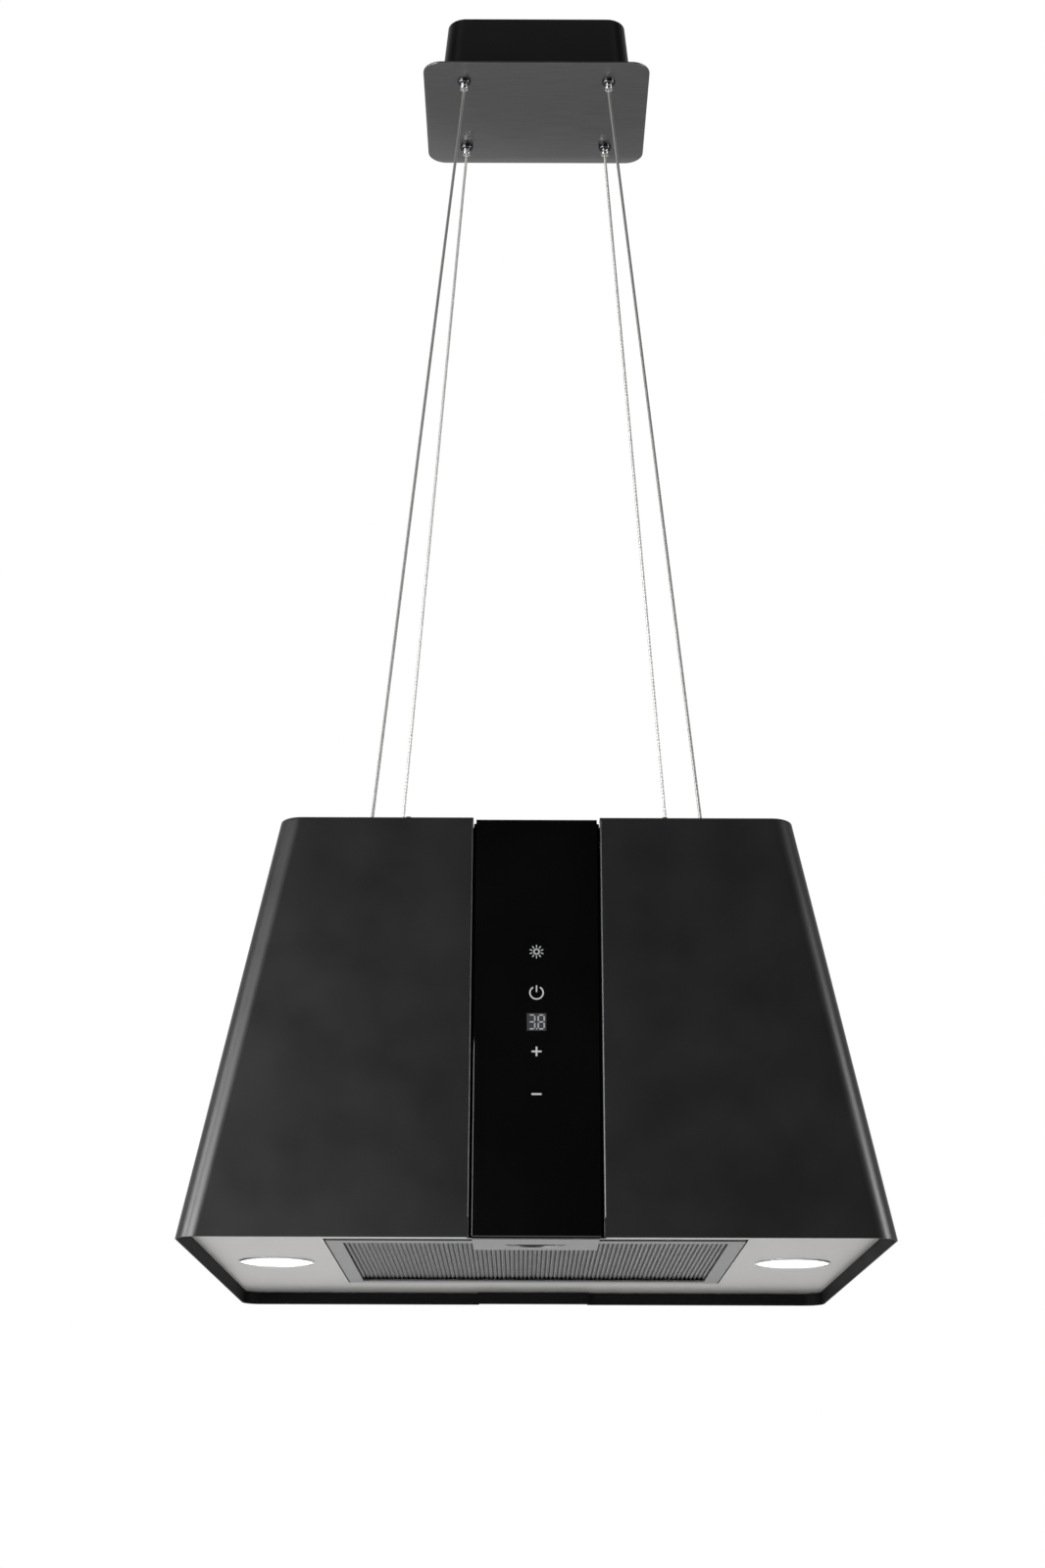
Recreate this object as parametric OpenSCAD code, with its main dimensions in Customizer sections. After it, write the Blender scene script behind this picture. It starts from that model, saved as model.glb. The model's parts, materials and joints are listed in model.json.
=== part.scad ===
// Island range hood: a tapered body hung on four wires from a ceiling canopy.
// The origin is on the ceiling, at the centre of the bracket's bolt pattern.
// +Z is up, so the whole object hangs below zero. -Y is the side with the controls.

/* [Body] */
// Width of the body at its lower edge
hood_w = 600; // [520:1:760]
// Depth of the body at its lower edge
hood_d = 540; // [500:1:680]
// Width of the body at its top
top_w = 456; // [430:1:560]
// Depth of the body at its top
top_d = 456; // [430:1:560]
// Height of the body
hood_h = 375; // [350:1:460]
// Outside radius of the body's four corners
corner_r = 20; // [16:1:30]
// Thickness of the outer sheet steel
shell_t = 1.2; // [0.8:0.1:2]
// Width of the gap between the two shells
strip_gap = 112; // [90:1:150]
// Depth of the folded edge along the gap
return_depth = 24; // [20:1:30]
// Depth of the folded edge round the top
rim_depth = 14; // [10:1:18]

/* [Glass strip] */
// Gap between a glass strip and the shell on each side
glass_gap = 2.5; // [1:0.1:4]
// Thickness of a glass strip
glass_t = 4; // [3:0.5:6]
// How far the glass lies behind the face of the shells
glass_recess = 1; // [0.3:0.1:3]
// Thickness of the tape that bonds the glass
tape_t = 0.8; // [0.5:0.1:1.5]
// Thickness of the channel behind the glass
channel_t = 1.5; // [1:0.1:2]
// Height of the display's centre above the lower edge, along the face
display_at = 186.7; // [150:0.1:230]
// Distance from the display to the power and plus keys
key_step = 26.4; // [22:0.1:30]
// Distance from the display to the light and minus keys
key_reach = 64; // [50:0.5:75]

/* [Underside] */
// How far the bottom panel lies above the lower edge
panel_recess = 12; // [8:1:20]
// Thickness of the bottom panel
panel_t = 1; // [0.8:0.1:1.5]
// Width of the grease filter
filter_w = 366; // [300:1:380]
// Depth of the grease filter
filter_d = 326; // [290:1:340]
// Thickness of the grease filter
filter_t = 9; // [8:0.5:12]
// Distance from the body's front edge to the filter
filter_front = 115; // [100:1:130]
// Gap in front of the filter
filter_gap_front = 11; // [8:0.5:14]
// Gap at each side of the filter
filter_gap_side = 1.5; // [1:0.1:3]
// Gap behind the filter
filter_gap_back = 2.5; // [2.5:0.1:4]
// Distance between the fold lines of the filter mesh
mesh_pitch = 4.2; // [3.6:0.1:8]
// Distance from the middle of the body to each lamp
lamp_x = 240; // [235:1:245]
// Visible radius of a lamp's lens
lens_r = 33.2; // [25:0.1:34]
// Width of the bright ring round a lens
bezel_w = 2.5; // [2:0.1:4]

/* [Canopy] */
// Width of the plate under the canopy
plate_w = 240; // [220:1:300]
// Depth of the plate under the canopy
plate_d = 190; // [174:1:240]
// Thickness of the plate under the canopy
plate_t = 2; // [1.5:0.1:3]
// Width of the canopy box where it meets the plate
box_w = 202; // [196:1:216]
// Depth of the canopy box where it meets the plate
box_d = 152; // [150:1:170]
// How much narrower the box is at the ceiling, on each side
box_taper = 6; // [2:0.5:8]
// Height of the canopy box
box_h = 70; // [60:1:100]
// Thickness of the canopy box
box_t = 1.2; // [0.8:0.1:2]
// Distance between ceiling screws, left to right
bolt_x = 140; // [120:1:150]
// Distance between ceiling screws, front to back
bolt_y = 80; // [60:1:90]
// Diameter of each ceiling screw hole
bolt_hole = 6.5; // [5:0.1:8]

/* [Suspension] */
// Free height between the canopy plate and the top of the body
drop = 873; // [500:1:1200]
// Diameter of a suspension wire
wire_d = 3; // [2:0.1:3.4]
// Distance between the wires at the canopy, left to right
grip_x = 154; // [140:1:158]
// Distance between the wires at the canopy, front to back
grip_y = 124; // [100:1:126]
// Distance between the wires at the body, left to right
anchor_x = 300; // [260:1:320]
// Distance between the wires at the body, front to back
anchor_y = 380; // [330:1:385]

/* [Blower] */
// Outside radius of the impeller
impeller_r = 75; // [65:1:78]
// Number of impeller blades
blade_count = 28; // [16:1:36]
// Width of the blower housing
blower_w = 150; // [130:1:160]
// Largest radius of the scroll
scroll_r = 125; // [112:1:130]
// Height of the blower's axle above the body's lower edge
blower_z = 190; // [178:1:200]
// Wall of the blower housing
scroll_wall = 2; // [1.5:0.1:3]
// Diameter of the motor shaft
shaft_d = 8; // [6:0.5:10]

/* [Fits] */
// Radial clearance of a turning pin or shaft
run_fit = 0.05; // [0.02:0.01:0.08]
// Clearance between pieces that slide on each other
slide_fit = 0.3; // [0.2:0.05:0.5]
// Clearance of a screw in its hole
screw_fit = 0.1; // [0.05:0.05:0.3]

/* [Hidden] */
$fn = 64;

eps = 0.01;
hood_z = -(box_h + plate_t + drop + hood_h);
lean_front = atan((hood_d - top_d) / 2 / hood_h);
face_len = hood_h / cos(lean_front);
sheet_play = 0.3;

// Deck under the rim of the shells
deck_t = 1.5;
deck_top = hood_h - shell_t;
deck_under = deck_top - deck_t;
deck_screw_r = 2;
rim_screw_in = rim_depth / 2 + shell_t;

// Strip behind the gap between the shells
glass_w = strip_gap - 2 * glass_gap;
web_front = glass_recess + glass_t + tape_t;
web_back = web_front + channel_t;
channel_half = strip_gap / 2 - 0.5;
foot_half = strip_gap / 2 + 1.5;
flange_from = 17.5;
channel_top = face_len - 4;
screw_depth = 16;
board_front = web_back + 6.7;
board_t = 1.6;
window_half = 19;

// Underside
panel_z = panel_recess;
panel_top = panel_z + panel_t;
filter_y0 = -hood_d / 2 + filter_front;
filter_y1 = filter_y0 + filter_d;
filter_z = panel_z - slide_fit;
filter_top = filter_z + filter_t;
frame_t = 1.5;
side_bar = 14;
front_bar = 16;
back_bar = 15;
hinge_y = filter_y1 - 6;
hinge_z = filter_z + 5.3;
hinge_r = 2.5;
hinge_plate_t = 3;
lamp_y = 2;
bezel_r = lens_r + bezel_w;
sleeve_r = lens_r + 1.1;
lamp_hole_r = sleeve_r + 0.2;
sleeve_h = 12;
bezel_t = 1.2;

// Filter handle and latch
handle_w = 110;
handle_y0 = filter_y0 - filter_gap_front - 10;
handle_y1 = filter_y0 + 53;
handle_t = 1.2;
slot_w = 55;
slot_y = filter_y0 + 15;
slot_depth = 19.4;
slot_r = (pow(slot_w / 2, 2) + pow(slot_depth, 2)) / (2 * slot_depth);
latch_w = 36;
latch_t = 2;
latch_z = panel_top + slide_fit + 0.1;
latch_front = filter_y0 - filter_gap_front - 8;
latch_tab = slot_y + 17;
cup_w = 80;
cup_y0 = filter_y0 + front_bar + 0.2;
cup_y1 = handle_y1 - 4;

// Canopy
foot_t = 2;
leg_t = 2;
foot_behind = 13;
cable_hole_r = 10;
cable_r = 5;
plate_z = -box_h;
foot_w = box_d - 2 * box_t - 6;
box_slope = box_taper / box_h;

// Wire grippers and anchors
collar_r = 7;
collar_h = 4;
barrel_r = 5.5;
barrel_top = plate_z + foot_t + 26;
plunger_r = 4.2;
plunger_len = 22;
plunger_out = 6.5;
plunger_travel = 2;
plunger_z = plate_z - plate_t - collar_h - plunger_out;
wire_bend_z = plunger_z - 3;
wire_bend_r = 30;
wire_tail_z = -20;
anchor_r = 9;
shank_r = 7;
ball_r = 5;
ball_z = deck_top - 6;
anchor_lift = 8;
anchor_len = 16;
nut_h = 6;
grip_flats = 16;
anchor_flats = 21;
thread_fit = 0.02;

// Blower
blower_y = scroll_r - 50;
tongue_off = 25;
scroll_r0 = impeller_r + 9;
scroll_sweep = 288;
duct_top = deck_under - 14;
inlet_r = impeller_r - 17;
collar_out = 64;
lug_r = 67;
ring_t = 3;
carbon_r = 85;
carbon_w = 28;
motor_r = 40;

function half_w(z) = (hood_w + (top_w - hood_w) * z / hood_h) / 2;
function half_d(z) = (hood_d + (top_d - hood_d) * z / hood_h) / 2;

// ---------- shared shapes ----------

module on_hood() translate([0, 0, hood_z]) children();

// Face of the strip: x across, y into the body, z up the slope.
module on_front() translate([0, -hood_d / 2, 0]) rotate([-lean_front, 0, 0]) children();
module on_rear() rotate([0, 0, 180]) on_front() children();

module mirrored_x() {
    children();
    mirror([1, 0, 0]) children();
}

module at_corners(dx, dy) {
    for (sx = [-1, 1], sy = [-1, 1]) translate([sx * dx / 2, sy * dy / 2, 0]) children();
}

// A rounded plate with true round corners.
module plate(w, d, t, r) {
    union() {
        translate([-w / 2 + r, -d / 2, 0]) cube([w - 2 * r, d, t]);
        translate([-w / 2, -d / 2 + r, 0]) cube([w, d - 2 * r, t]);
        at_corners(w - 2 * r, d - 2 * r) cylinder(r = r, h = t);
    }
}

// A block that tapers evenly, with corner posts of one radius.
module tapered(w0, d0, w1, d1, h, r) {
    hull() for (sx = [-1, 1], sy = [-1, 1])
        multmatrix([
            [1, 0, sx * (w1 - w0) / 2 / h, sx * (w0 / 2 - r)],
            [0, 1, sy * (d1 - d0) / 2 / h, sy * (d0 / 2 - r)],
            [0, 0, 1, 0],
            [0, 0, 0, 1]
        ]) cylinder(r = r, h = h, $fn = 48);
}

// The body's outer form between two heights, drawn in by inset.
module body_block(z0, z1, inset) {
    translate([0, 0, z0]) tapered(
        2 * (half_w(z0) - inset), 2 * (half_d(z0) - inset),
        2 * (half_w(z1) - inset), 2 * (half_d(z1) - inset),
        z1 - z0, corner_r - inset
    );
}

// The canopy box's form, drawn in by inset.
module canopy_block(z0, z1, inset) {
    translate([0, 0, z0]) tapered(
        box_w - 2 * inset - 2 * box_slope * (z0 - plate_z),
        box_d - 2 * inset - 2 * box_slope * (z0 - plate_z),
        box_w - 2 * inset - 2 * box_slope * (z1 - plate_z),
        box_d - 2 * inset - 2 * box_slope * (z1 - plate_z),
        z1 - z0, corner_r - inset
    );
}

module along_x(x0, x1, r) translate([x0, 0, 0]) rotate([0, 90, 0]) cylinder(r = r, h = x1 - x0);

module tube_x(x0, x1, outer, inner) difference() {
    along_x(x0, x1, outer);
    along_x(x0 - 1, x1 + 1, inner);
}

module ring(z0, z1, outer, inner) translate([0, 0, z0]) difference() {
    cylinder(r = outer, h = z1 - z0);
    translate([0, 0, -1]) cylinder(r = inner, h = z1 - z0 + 2);
}

// Hex nut with its lower face at zero.
module hex_nut(flats, h, bore_r) difference() {
    cylinder(d = flats / cos(30), h = h, $fn = 6);
    translate([0, 0, -1]) cylinder(r = bore_r, h = h + 2);
}

// Pan head screw, head above zero and shank below.
module pan_screw(r, len) {
    cylinder(r1 = 1.9 * r, r2 = 1.5 * r, h = 1.1 * r);
    translate([0, 0, -len]) cylinder(r = r, h = len + eps);
}

// Coil spring along +Z, as one swept wire with 8 sides.
module coil(r, wire_r, len, turns) {
    steps = turns * 14;
    pitch = len / turns;
    points = [
        for (i = [0:steps], k = [0:7])
            let (a = 360 * turns * i / steps, b = 45 * k, out = r + wire_r * cos(b))
            [out * cos(a), out * sin(a), pitch * turns * i / steps + wire_r * sin(b)]
    ];
    sides = [
        for (i = [0:steps - 1], k = [0:7])
            let (n = (k + 1) % 8)
            [8 * i + k, 8 * i + n, 8 * i + 8 + n, 8 * i + 8 + k]
    ];
    ends = [[for (k = [7:-1:0]) k], [for (k = [0:7]) 8 * steps + k]];
    polyhedron(points = points, faces = [for (f = concat(sides, ends)) [for (v = [len(f) - 1:-1:0]) f[v]]]);
}

// ---------- canopy ----------

module bracket_leg() {
    leg_d = box_d - 2 * box_taper - 2 * corner_r - 4;
    multmatrix([
        [1, 0, -box_slope, box_w / 2 - box_t - sheet_play - leg_t],
        [0, 1, 0, -leg_d / 2],
        [0, 0, 1, plate_z],
        [0, 0, 0, 1]
    ]) cube([leg_t, leg_d, box_h]);
}

module ceiling_bracket() {
    reach = box_w / 2 - box_t - sheet_play;
    top_half = reach - box_taper - leg_t / 2;
    foot_in = grip_x / 2 - foot_behind;
    color("lightgray") difference() {
        union() {
            translate([-top_half, -bolt_y / 2 - 16, -foot_t]) cube([2 * top_half, bolt_y + 32, foot_t]);
            mirrored_x() bracket_leg();
            intersection() {
                translate([0, 0, plate_z])
                    plate(2 * (reach - box_slope * foot_t), foot_w, foot_t, corner_r - box_t);
                mirrored_x() translate([foot_in, -foot_w / 2, plate_z]) cube([reach, foot_w, foot_t]);
            }
        }
        translate([0, 0, -foot_t - 1]) at_corners(bolt_x, bolt_y) cylinder(d = bolt_hole, h = foot_t + 2);
        translate([0, 0, -foot_t - 1]) cylinder(r = cable_hole_r, h = foot_t + 2);
        translate([0, 0, plate_z - 1]) at_corners(grip_x, grip_y)
            cylinder(r = barrel_r + screw_fit, h = foot_t + 2);
        translate([0, 0, plate_z / 2]) along_x(-box_w, box_w, deck_screw_r);
    }
}

module canopy_box() {
    color([0.07, 0.07, 0.07]) difference() {
        canopy_block(plate_z, 0, 0);
        canopy_block(plate_z - 1, 1, box_t);
        translate([0, 0, plate_z / 2]) along_x(-box_w, box_w, deck_screw_r + screw_fit);
    }
}

module canopy_plate() {
    color([0.3, 0.3, 0.3]) difference() {
        translate([0, 0, plate_z - plate_t]) plate(plate_w, plate_d, plate_t, corner_r);
        translate([0, 0, plate_z - plate_t - 1]) at_corners(grip_x, grip_y)
            cylinder(r = barrel_r + screw_fit, h = plate_t + 2);
    }
}

module canopy_screws() {
    out = box_w / 2 - box_taper / 2;
    color([0.1, 0.1, 0.1]) mirrored_x() translate([out + 0.4, 0, plate_z / 2])
        rotate([0, 90, 0]) pan_screw(deck_screw_r - screw_fit / 2, 8);
}

module supply_grommet() {
    lip_h = 3;
    color([0.12, 0.12, 0.12]) difference() {
        union() {
            translate([0, 0, -foot_t]) cylinder(r = cable_hole_r - screw_fit, h = foot_t);
            translate([0, 0, -foot_t - lip_h]) cylinder(r = cable_hole_r + 3, h = lip_h);
        }
        translate([0, 0, -foot_t - lip_h - 1]) cylinder(r = cable_r, h = foot_t + lip_h + 2);
    }
}

module terminal_block() {
    block_w = 48;
    block_d = 18;
    block_h = 16;
    block_y = 26;
    pole_step = 14;
    color("white") difference() {
        translate([-block_w / 2, block_y, -foot_t - block_h]) cube([block_w, block_d, block_h]);
        for (i = [-1:1]) translate([i * pole_step, block_y - 4, -foot_t - 6])
            rotate([-90, 0, 0]) cylinder(r = 2.6, h = block_d + 8);
        for (i = [-1:1]) translate([i * pole_step, block_y + block_d / 2, -foot_t - block_h - 1])
            cylinder(r = 2.2, h = block_h / 2);
    }
}

// ---------- suspension ----------

module gripper() {
    difference() {
        union() {
            translate([0, 0, plate_z - plate_t - collar_h]) cylinder(r = collar_r, h = collar_h);
            translate([0, 0, plate_z - plate_t - eps])
                cylinder(r = barrel_r, h = barrel_top - plate_z + plate_t + eps);
        }
        translate([0, 0, plunger_z + 1])
            cylinder(r = plunger_r + run_fit, h = plunger_len + plunger_travel + 2);
        translate([0, 0, plunger_z]) cylinder(r = wire_d / 2 + slide_fit, h = barrel_top - plunger_z + 1);
    }
}

module wire_grippers() {
    color([0.25, 0.25, 0.26]) at_corners(grip_x, grip_y) gripper();
}

module gripper_nuts() {
    color("silver") translate([0, 0, plate_z + foot_t]) at_corners(grip_x, grip_y)
        hex_nut(grip_flats, nut_h, barrel_r + thread_fit);
}

// Release tip of one gripper: pushed up it frees the wire.
module plunger(sx, sy) {
    tip_h = 1;
    color("gainsboro") translate([sx * grip_x / 2, sy * grip_y / 2, plunger_z]) difference() {
        union() {
            cylinder(r1 = plunger_r - 0.6, r2 = plunger_r, h = tip_h);
            translate([0, 0, tip_h - eps]) cylinder(r = plunger_r, h = plunger_len - tip_h + eps);
        }
        translate([0, 0, -1]) cylinder(r = wire_d / 2 + slide_fit, h = plunger_len + 2);
    }
}

function wire_tilt_x(sx) = sx * (anchor_x - grip_x) / 2;
function wire_tilt_y(sy) = sy * (anchor_y - grip_y) / 2;
wire_fall = wire_bend_z - (hood_z + ball_z);
wire_run = sqrt(pow(wire_tilt_x(1), 2) + pow(wire_tilt_y(1), 2));
wire_angle = atan(wire_run / wire_fall);

// Turns +Z to point from an anchor up along its wire.
module along_wire(sx, sy) {
    rotate([0, 0, atan2(-wire_tilt_y(sy), -wire_tilt_x(sx))]) rotate([0, wire_angle, 0]) children();
}

// Centre line of a wire in its own upright plane: [outwards from the gripper, height, lean].
function wire_line() =
    let (tangent = wire_bend_r * tan(wire_angle / 2), hood = hood_z + ball_z - wire_bend_z)
    concat(
        [[wire_run + ball_r * sin(wire_angle), hood - ball_r * cos(wire_angle), wire_angle]],
        [for (i = [4:-1:0]) let (a = wire_angle * i / 4)
            [wire_bend_r * (1 - cos(a)), tangent - wire_bend_r * sin(a), a]],
        [[0, wire_tail_z - wire_bend_z, 0]]
    );

// One suspension wire: straight up from its anchor, then upright through its gripper.
module wire(sx, sy) {
    sides = 16;
    line = wire_line();
    last = len(line) - 1;
    points = [
        for (at = line, k = [0:sides - 1]) let (b = 360 * k / sides, out = wire_d / 2 * cos(b))
            [at[0] + out * cos(at[2]), wire_d / 2 * sin(b), at[1] + out * sin(at[2])]
    ];
    walls = [
        for (i = [0:last - 1], k = [0:sides - 1]) let (n = (k + 1) % sides)
            [sides * i + k, sides * (i + 1) + k, sides * (i + 1) + n, sides * i + n]
    ];
    ends = [[for (k = [0:sides - 1]) k], [for (k = [sides - 1:-1:0]) sides * last + k]];
    color("gray") translate([sx * grip_x / 2, sy * grip_y / 2, wire_bend_z])
        rotate([0, 0, atan2(wire_tilt_y(sy), wire_tilt_x(sx))])
            polyhedron(points = points, faces = concat(walls, ends));
}

module wire_anchor() {
    difference() {
        union() {
            translate([0, 0, deck_top]) cylinder(r1 = anchor_r, r2 = anchor_r - 2, h = anchor_lift);
            translate([0, 0, deck_top - anchor_len]) cylinder(r = shank_r, h = anchor_len + eps);
        }
        translate([0, 0, deck_top - anchor_len - 1]) cylinder(r = ball_r + slide_fit, h = anchor_len);
        translate([0, 0, deck_top - 2]) cylinder(r1 = 3.2, r2 = 5, h = anchor_lift + 3);
    }
}

module wire_anchors() {
    color([0.25, 0.25, 0.26]) on_hood() at_corners(anchor_x, anchor_y) wire_anchor();
}

module anchor_nuts() {
    color("silver") on_hood() translate([0, 0, deck_under - nut_h]) at_corners(anchor_x, anchor_y)
        hex_nut(anchor_flats, nut_h, shank_r + thread_fit);
}

// Swaged ball that stops each wire under its anchor.
module wire_ends() {
    color("gray") on_hood() for (sx = [-1, 1], sy = [-1, 1])
        translate([sx * anchor_x / 2, sy * anchor_y / 2, ball_z]) difference() {
            sphere(r = ball_r);
            along_wire(sx, sy) translate([0, 0, -2 * ball_r])
                cylinder(d = wire_d + 0.04, h = 4 * ball_r, $fn = 24);
        }
}

// ---------- outer body ----------

module strip_screw_holes(r) {
    for (up = [60, face_len - 65]) translate([0, screw_depth, up]) along_x(-strip_gap, strip_gap, r);
}

// Places of the screws that hold the shells to the deck.
module at_rim_screws() {
    for (sx = [-1, 1], sy = [-1, 1]) {
        translate([sx * top_w / 4, sy * (top_d / 2 - rim_screw_in), 0]) children();
        translate([sx * (top_w / 2 - rim_screw_in), sy * top_d / 4, 0]) children();
    }
}

// One folded shell: half of the body's skin, with a rim on top and an edge along each gap.
module half_shell() {
    difference() {
        union() {
            difference() {
                body_block(0, hood_h, 0);
                body_block(-1, hood_h + 1, shell_t);
                translate([-strip_gap / 2, -hood_d, -1]) cube([hood_w, 2 * hood_d, hood_h + 2]);
            }
            difference() {
                body_block(deck_top, hood_h, shell_t / 2);
                body_block(deck_top - 1, hood_h + 1, rim_depth);
                translate([-strip_gap / 2, -hood_d, 0]) cube([hood_w, 2 * hood_d, hood_h + 2]);
            }
            on_front() gap_edge();
            mirror([0, 1, 0]) on_front() gap_edge();
        }
        at_rim_screws() translate([0, 0, deck_top - 1]) cylinder(r = deck_screw_r + screw_fit, h = shell_t + 2);
        on_front() strip_screw_holes(deck_screw_r);
        mirror([0, 1, 0]) on_front() strip_screw_holes(deck_screw_r);
    }
}

// Folded edge beside the gap, from above the bottom panel to under the rim.
module gap_edge() {
    translate([-strip_gap / 2 - shell_t, shell_t / 2, flange_from])
        cube([shell_t, return_depth - shell_t / 2, channel_top - flange_from]);
}

module left_shell() {
    color([0.2, 0.2, 0.2]) on_hood() half_shell();
}

module right_shell() {
    color([0.12, 0.12, 0.12]) on_hood() mirror([1, 0, 0]) half_shell();
}

// ---------- deck and chassis ----------

post_x = top_w / 2 - 24;
post_y = top_d / 2 - 24;
box_y = -(top_d / 2 - 84);
gland_x = 45;
supply_w = 150;
supply_d = 84;
supply_h = 46;
grille_w = 184;
grille_d = scroll_r - tongue_off + 12;

module deck_plate() {
    notch_d = return_depth + 4;
    color([0.1, 0.1, 0.1]) on_hood() difference() {
        body_block(deck_under, deck_top, shell_t + sheet_play);
        for (sy = [-1, 1]) translate([-strip_gap / 2 - 2, sy * top_d / 2 - notch_d, deck_under - 1])
            cube([strip_gap + 4, 2 * notch_d, deck_t + 2]);
        translate([0, 0, deck_under - 1]) {
            translate([-grille_w / 2 + 12, -grille_d / 2 + 12, 0])
                cube([grille_w - 24, grille_d - 24, deck_t + 2]);
            at_rim_screws() cylinder(r = deck_screw_r, h = deck_t + 2);
            at_corners(2 * post_x, 2 * post_y) cylinder(r = deck_screw_r + screw_fit, h = deck_t + 2);
            at_corners(anchor_x, anchor_y) cylinder(r = shank_r + screw_fit, h = deck_t + 2);
            at_mounts() cylinder(r = 2.5 + screw_fit, h = deck_t + 2);
            translate([gland_x, box_y, 0]) cylinder(r = 8 + screw_fit, h = deck_t + 2);
        }
    }
}

module deck_screws() {
    color([0.1, 0.1, 0.1]) on_hood() {
        translate([0, 0, hood_h]) at_rim_screws() pan_screw(deck_screw_r - screw_fit / 2, 8);
        translate([0, 0, deck_top]) at_corners(2 * post_x, 2 * post_y)
            pan_screw(deck_screw_r - screw_fit / 2, 8);
        translate([0, 0, deck_top]) at_mounts() pan_screw(2.5, deck_top - duct_top + 6);
    }
}

// Angle posts that carry the bottom panel from the deck.
module corner_post() {
    foot = 22;
    difference() {
        union() {
            translate([foot / 2 - 1.5, -foot / 2, panel_top]) cube([1.5, foot, deck_under - panel_top]);
            translate([-foot / 2, foot / 2 - 1.5, panel_top]) cube([foot, 1.5, deck_under - panel_top]);
            translate([-foot / 2, -foot / 2, panel_top]) cube([foot, foot, 1.5]);
            translate([-foot / 2, -foot / 2, deck_under - 1.5]) cube([foot, foot, 1.5]);
        }
        translate([0, 0, panel_top - 1]) cylinder(r = deck_screw_r + screw_fit, h = 4);
        translate([0, 0, deck_under - 3]) cylinder(r = deck_screw_r, h = 4);
    }
}

module corner_posts() {
    color("silver") on_hood() for (sx = [0, 1], sy = [0, 1])
        mirror([sx, 0, 0]) mirror([0, sy, 0]) translate([post_x, post_y, 0]) corner_post();
}

module post_nuts() {
    color("silver") on_hood() translate([0, 0, panel_top + 1.5]) at_corners(2 * post_x, 2 * post_y)
        hex_nut(7, 3, deck_screw_r + 0.02);
}

module outlet_grille() {
    rise = 4;
    slat_gap = 9;
    inner_d = grille_d - 24;
    color([0.08, 0.08, 0.08]) on_hood() union() {
        difference() {
            translate([0, 0, deck_top]) plate(grille_w, grille_d, rise, 8);
            translate([-grille_w / 2 + 14, -inner_d / 2 + 2, deck_top - 1])
                cube([grille_w - 28, inner_d - 4, rise + 2]);
        }
        for (y = [-inner_d / 2 + 2 + slat_gap:slat_gap:inner_d / 2 - 2])
            translate([-grille_w / 2 + 13, y - 1, deck_top]) cube([grille_w - 26, 2, rise - 0.5]);
        for (x = [-grille_w / 6, grille_w / 6])
            translate([x - 1.5, -inner_d / 2 + 1, deck_top]) cube([3, inner_d - 2, rise - 1]);
    }
}

// ---------- glass strips and controls ----------

module strip_glass() {
    translate([-glass_w / 2, glass_recess, 1.5]) cube([glass_w, glass_t, face_len - 3.5]);
}

module front_glass() {
    color([0.02, 0.02, 0.02]) on_hood() on_front() strip_glass();
}

module rear_glass() {
    color([0.02, 0.02, 0.02]) on_hood() on_rear() strip_glass();
}

module strip_tapes() {
    mirrored_x() translate([glass_w / 2 - 16, glass_recess + glass_t, 10]) cube([12, tape_t, face_len - 26]);
}

module glass_tapes() {
    color([0.15, 0.15, 0.15]) on_hood() {
        on_front() strip_tapes();
        on_rear() strip_tapes();
    }
}

module channel() {
    difference() {
        union() {
            translate([-channel_half, web_front, 1]) cube([2 * channel_half, channel_t, channel_top - 1]);
            translate([-foot_half, web_front, 1]) cube([2 * foot_half, channel_t, flange_from - 1.5]);
            mirrored_x() translate([channel_half - channel_t, web_front, flange_from])
                cube([channel_t, return_depth - web_front, channel_top - flange_from]);
            translate([-channel_half, web_front, channel_top - channel_t])
                cube([2 * channel_half, return_depth + 2 - web_front, channel_t]);
        }
        strip_screw_holes(deck_screw_r + screw_fit);
    }
}

module front_channel() {
    color([0.1, 0.1, 0.1]) on_hood() on_front() difference() {
        channel();
        translate([-window_half, web_front - 1, display_at - key_reach - 8])
            cube([2 * window_half, channel_t + 2, 2 * key_reach + 16]);
    }
}

module rear_channel() {
    color([0.1, 0.1, 0.1]) on_hood() on_rear() channel();
}

// Screws through the channel's flanges into the folded edges of the shells.
module channel_screws() {
    head_at = channel_half - channel_t;
    color("silver") on_hood() for (turn = [0, 180]) rotate([0, 0, turn]) on_front()
        for (up = [60, face_len - 65]) mirrored_x() translate([head_at, screw_depth, up])
            rotate([0, -90, 0]) pan_screw(deck_screw_r - screw_fit / 2, 8);
}

module control_board() {
    span = 2 * key_reach + 52;
    board_w = 50;
    chip = [18, 3, 18];
    plug = [28, 9, 12];
    back = board_front + board_t - eps;
    color("darkgreen") on_hood() on_front() union() {
        translate([-board_w / 2, board_front, display_at - span / 2]) cube([board_w, board_t, span]);
        for (x = [-1, 1], up = [-1, 1])
            translate([x * (board_w / 2 - 7), web_back, display_at + up * (span / 2 - 7)])
                rotate([-90, 0, 0]) cylinder(r = 3, h = board_front - web_back + eps);
        translate([-chip[0] / 2, back, display_at - 40]) cube(chip);
        translate([-plug[0] / 2, back, display_at + 50]) cube(plug);
    }
}

module display_module() {
    front = glass_recess + glass_t + sheet_play;
    display_w = 19;
    display_h = 17;
    color([0.1, 0.1, 0.1]) on_hood() on_front()
        translate([-display_w / 2, front, display_at - display_h / 2])
            cube([display_w, board_front - front, display_h]);
}

// One sprung contact behind the glass for each touch key.
module touch_springs() {
    from = glass_recess + glass_t + 0.6;
    color("goldenrod") on_hood() on_front() for (up = [-key_reach, -key_step, key_step, key_reach])
        translate([0, from, display_at + up]) rotate([-90, 0, 0])
            coil(4.2, 0.4, board_front - from - 0.5, 3);
}

// ---------- underside ----------

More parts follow.
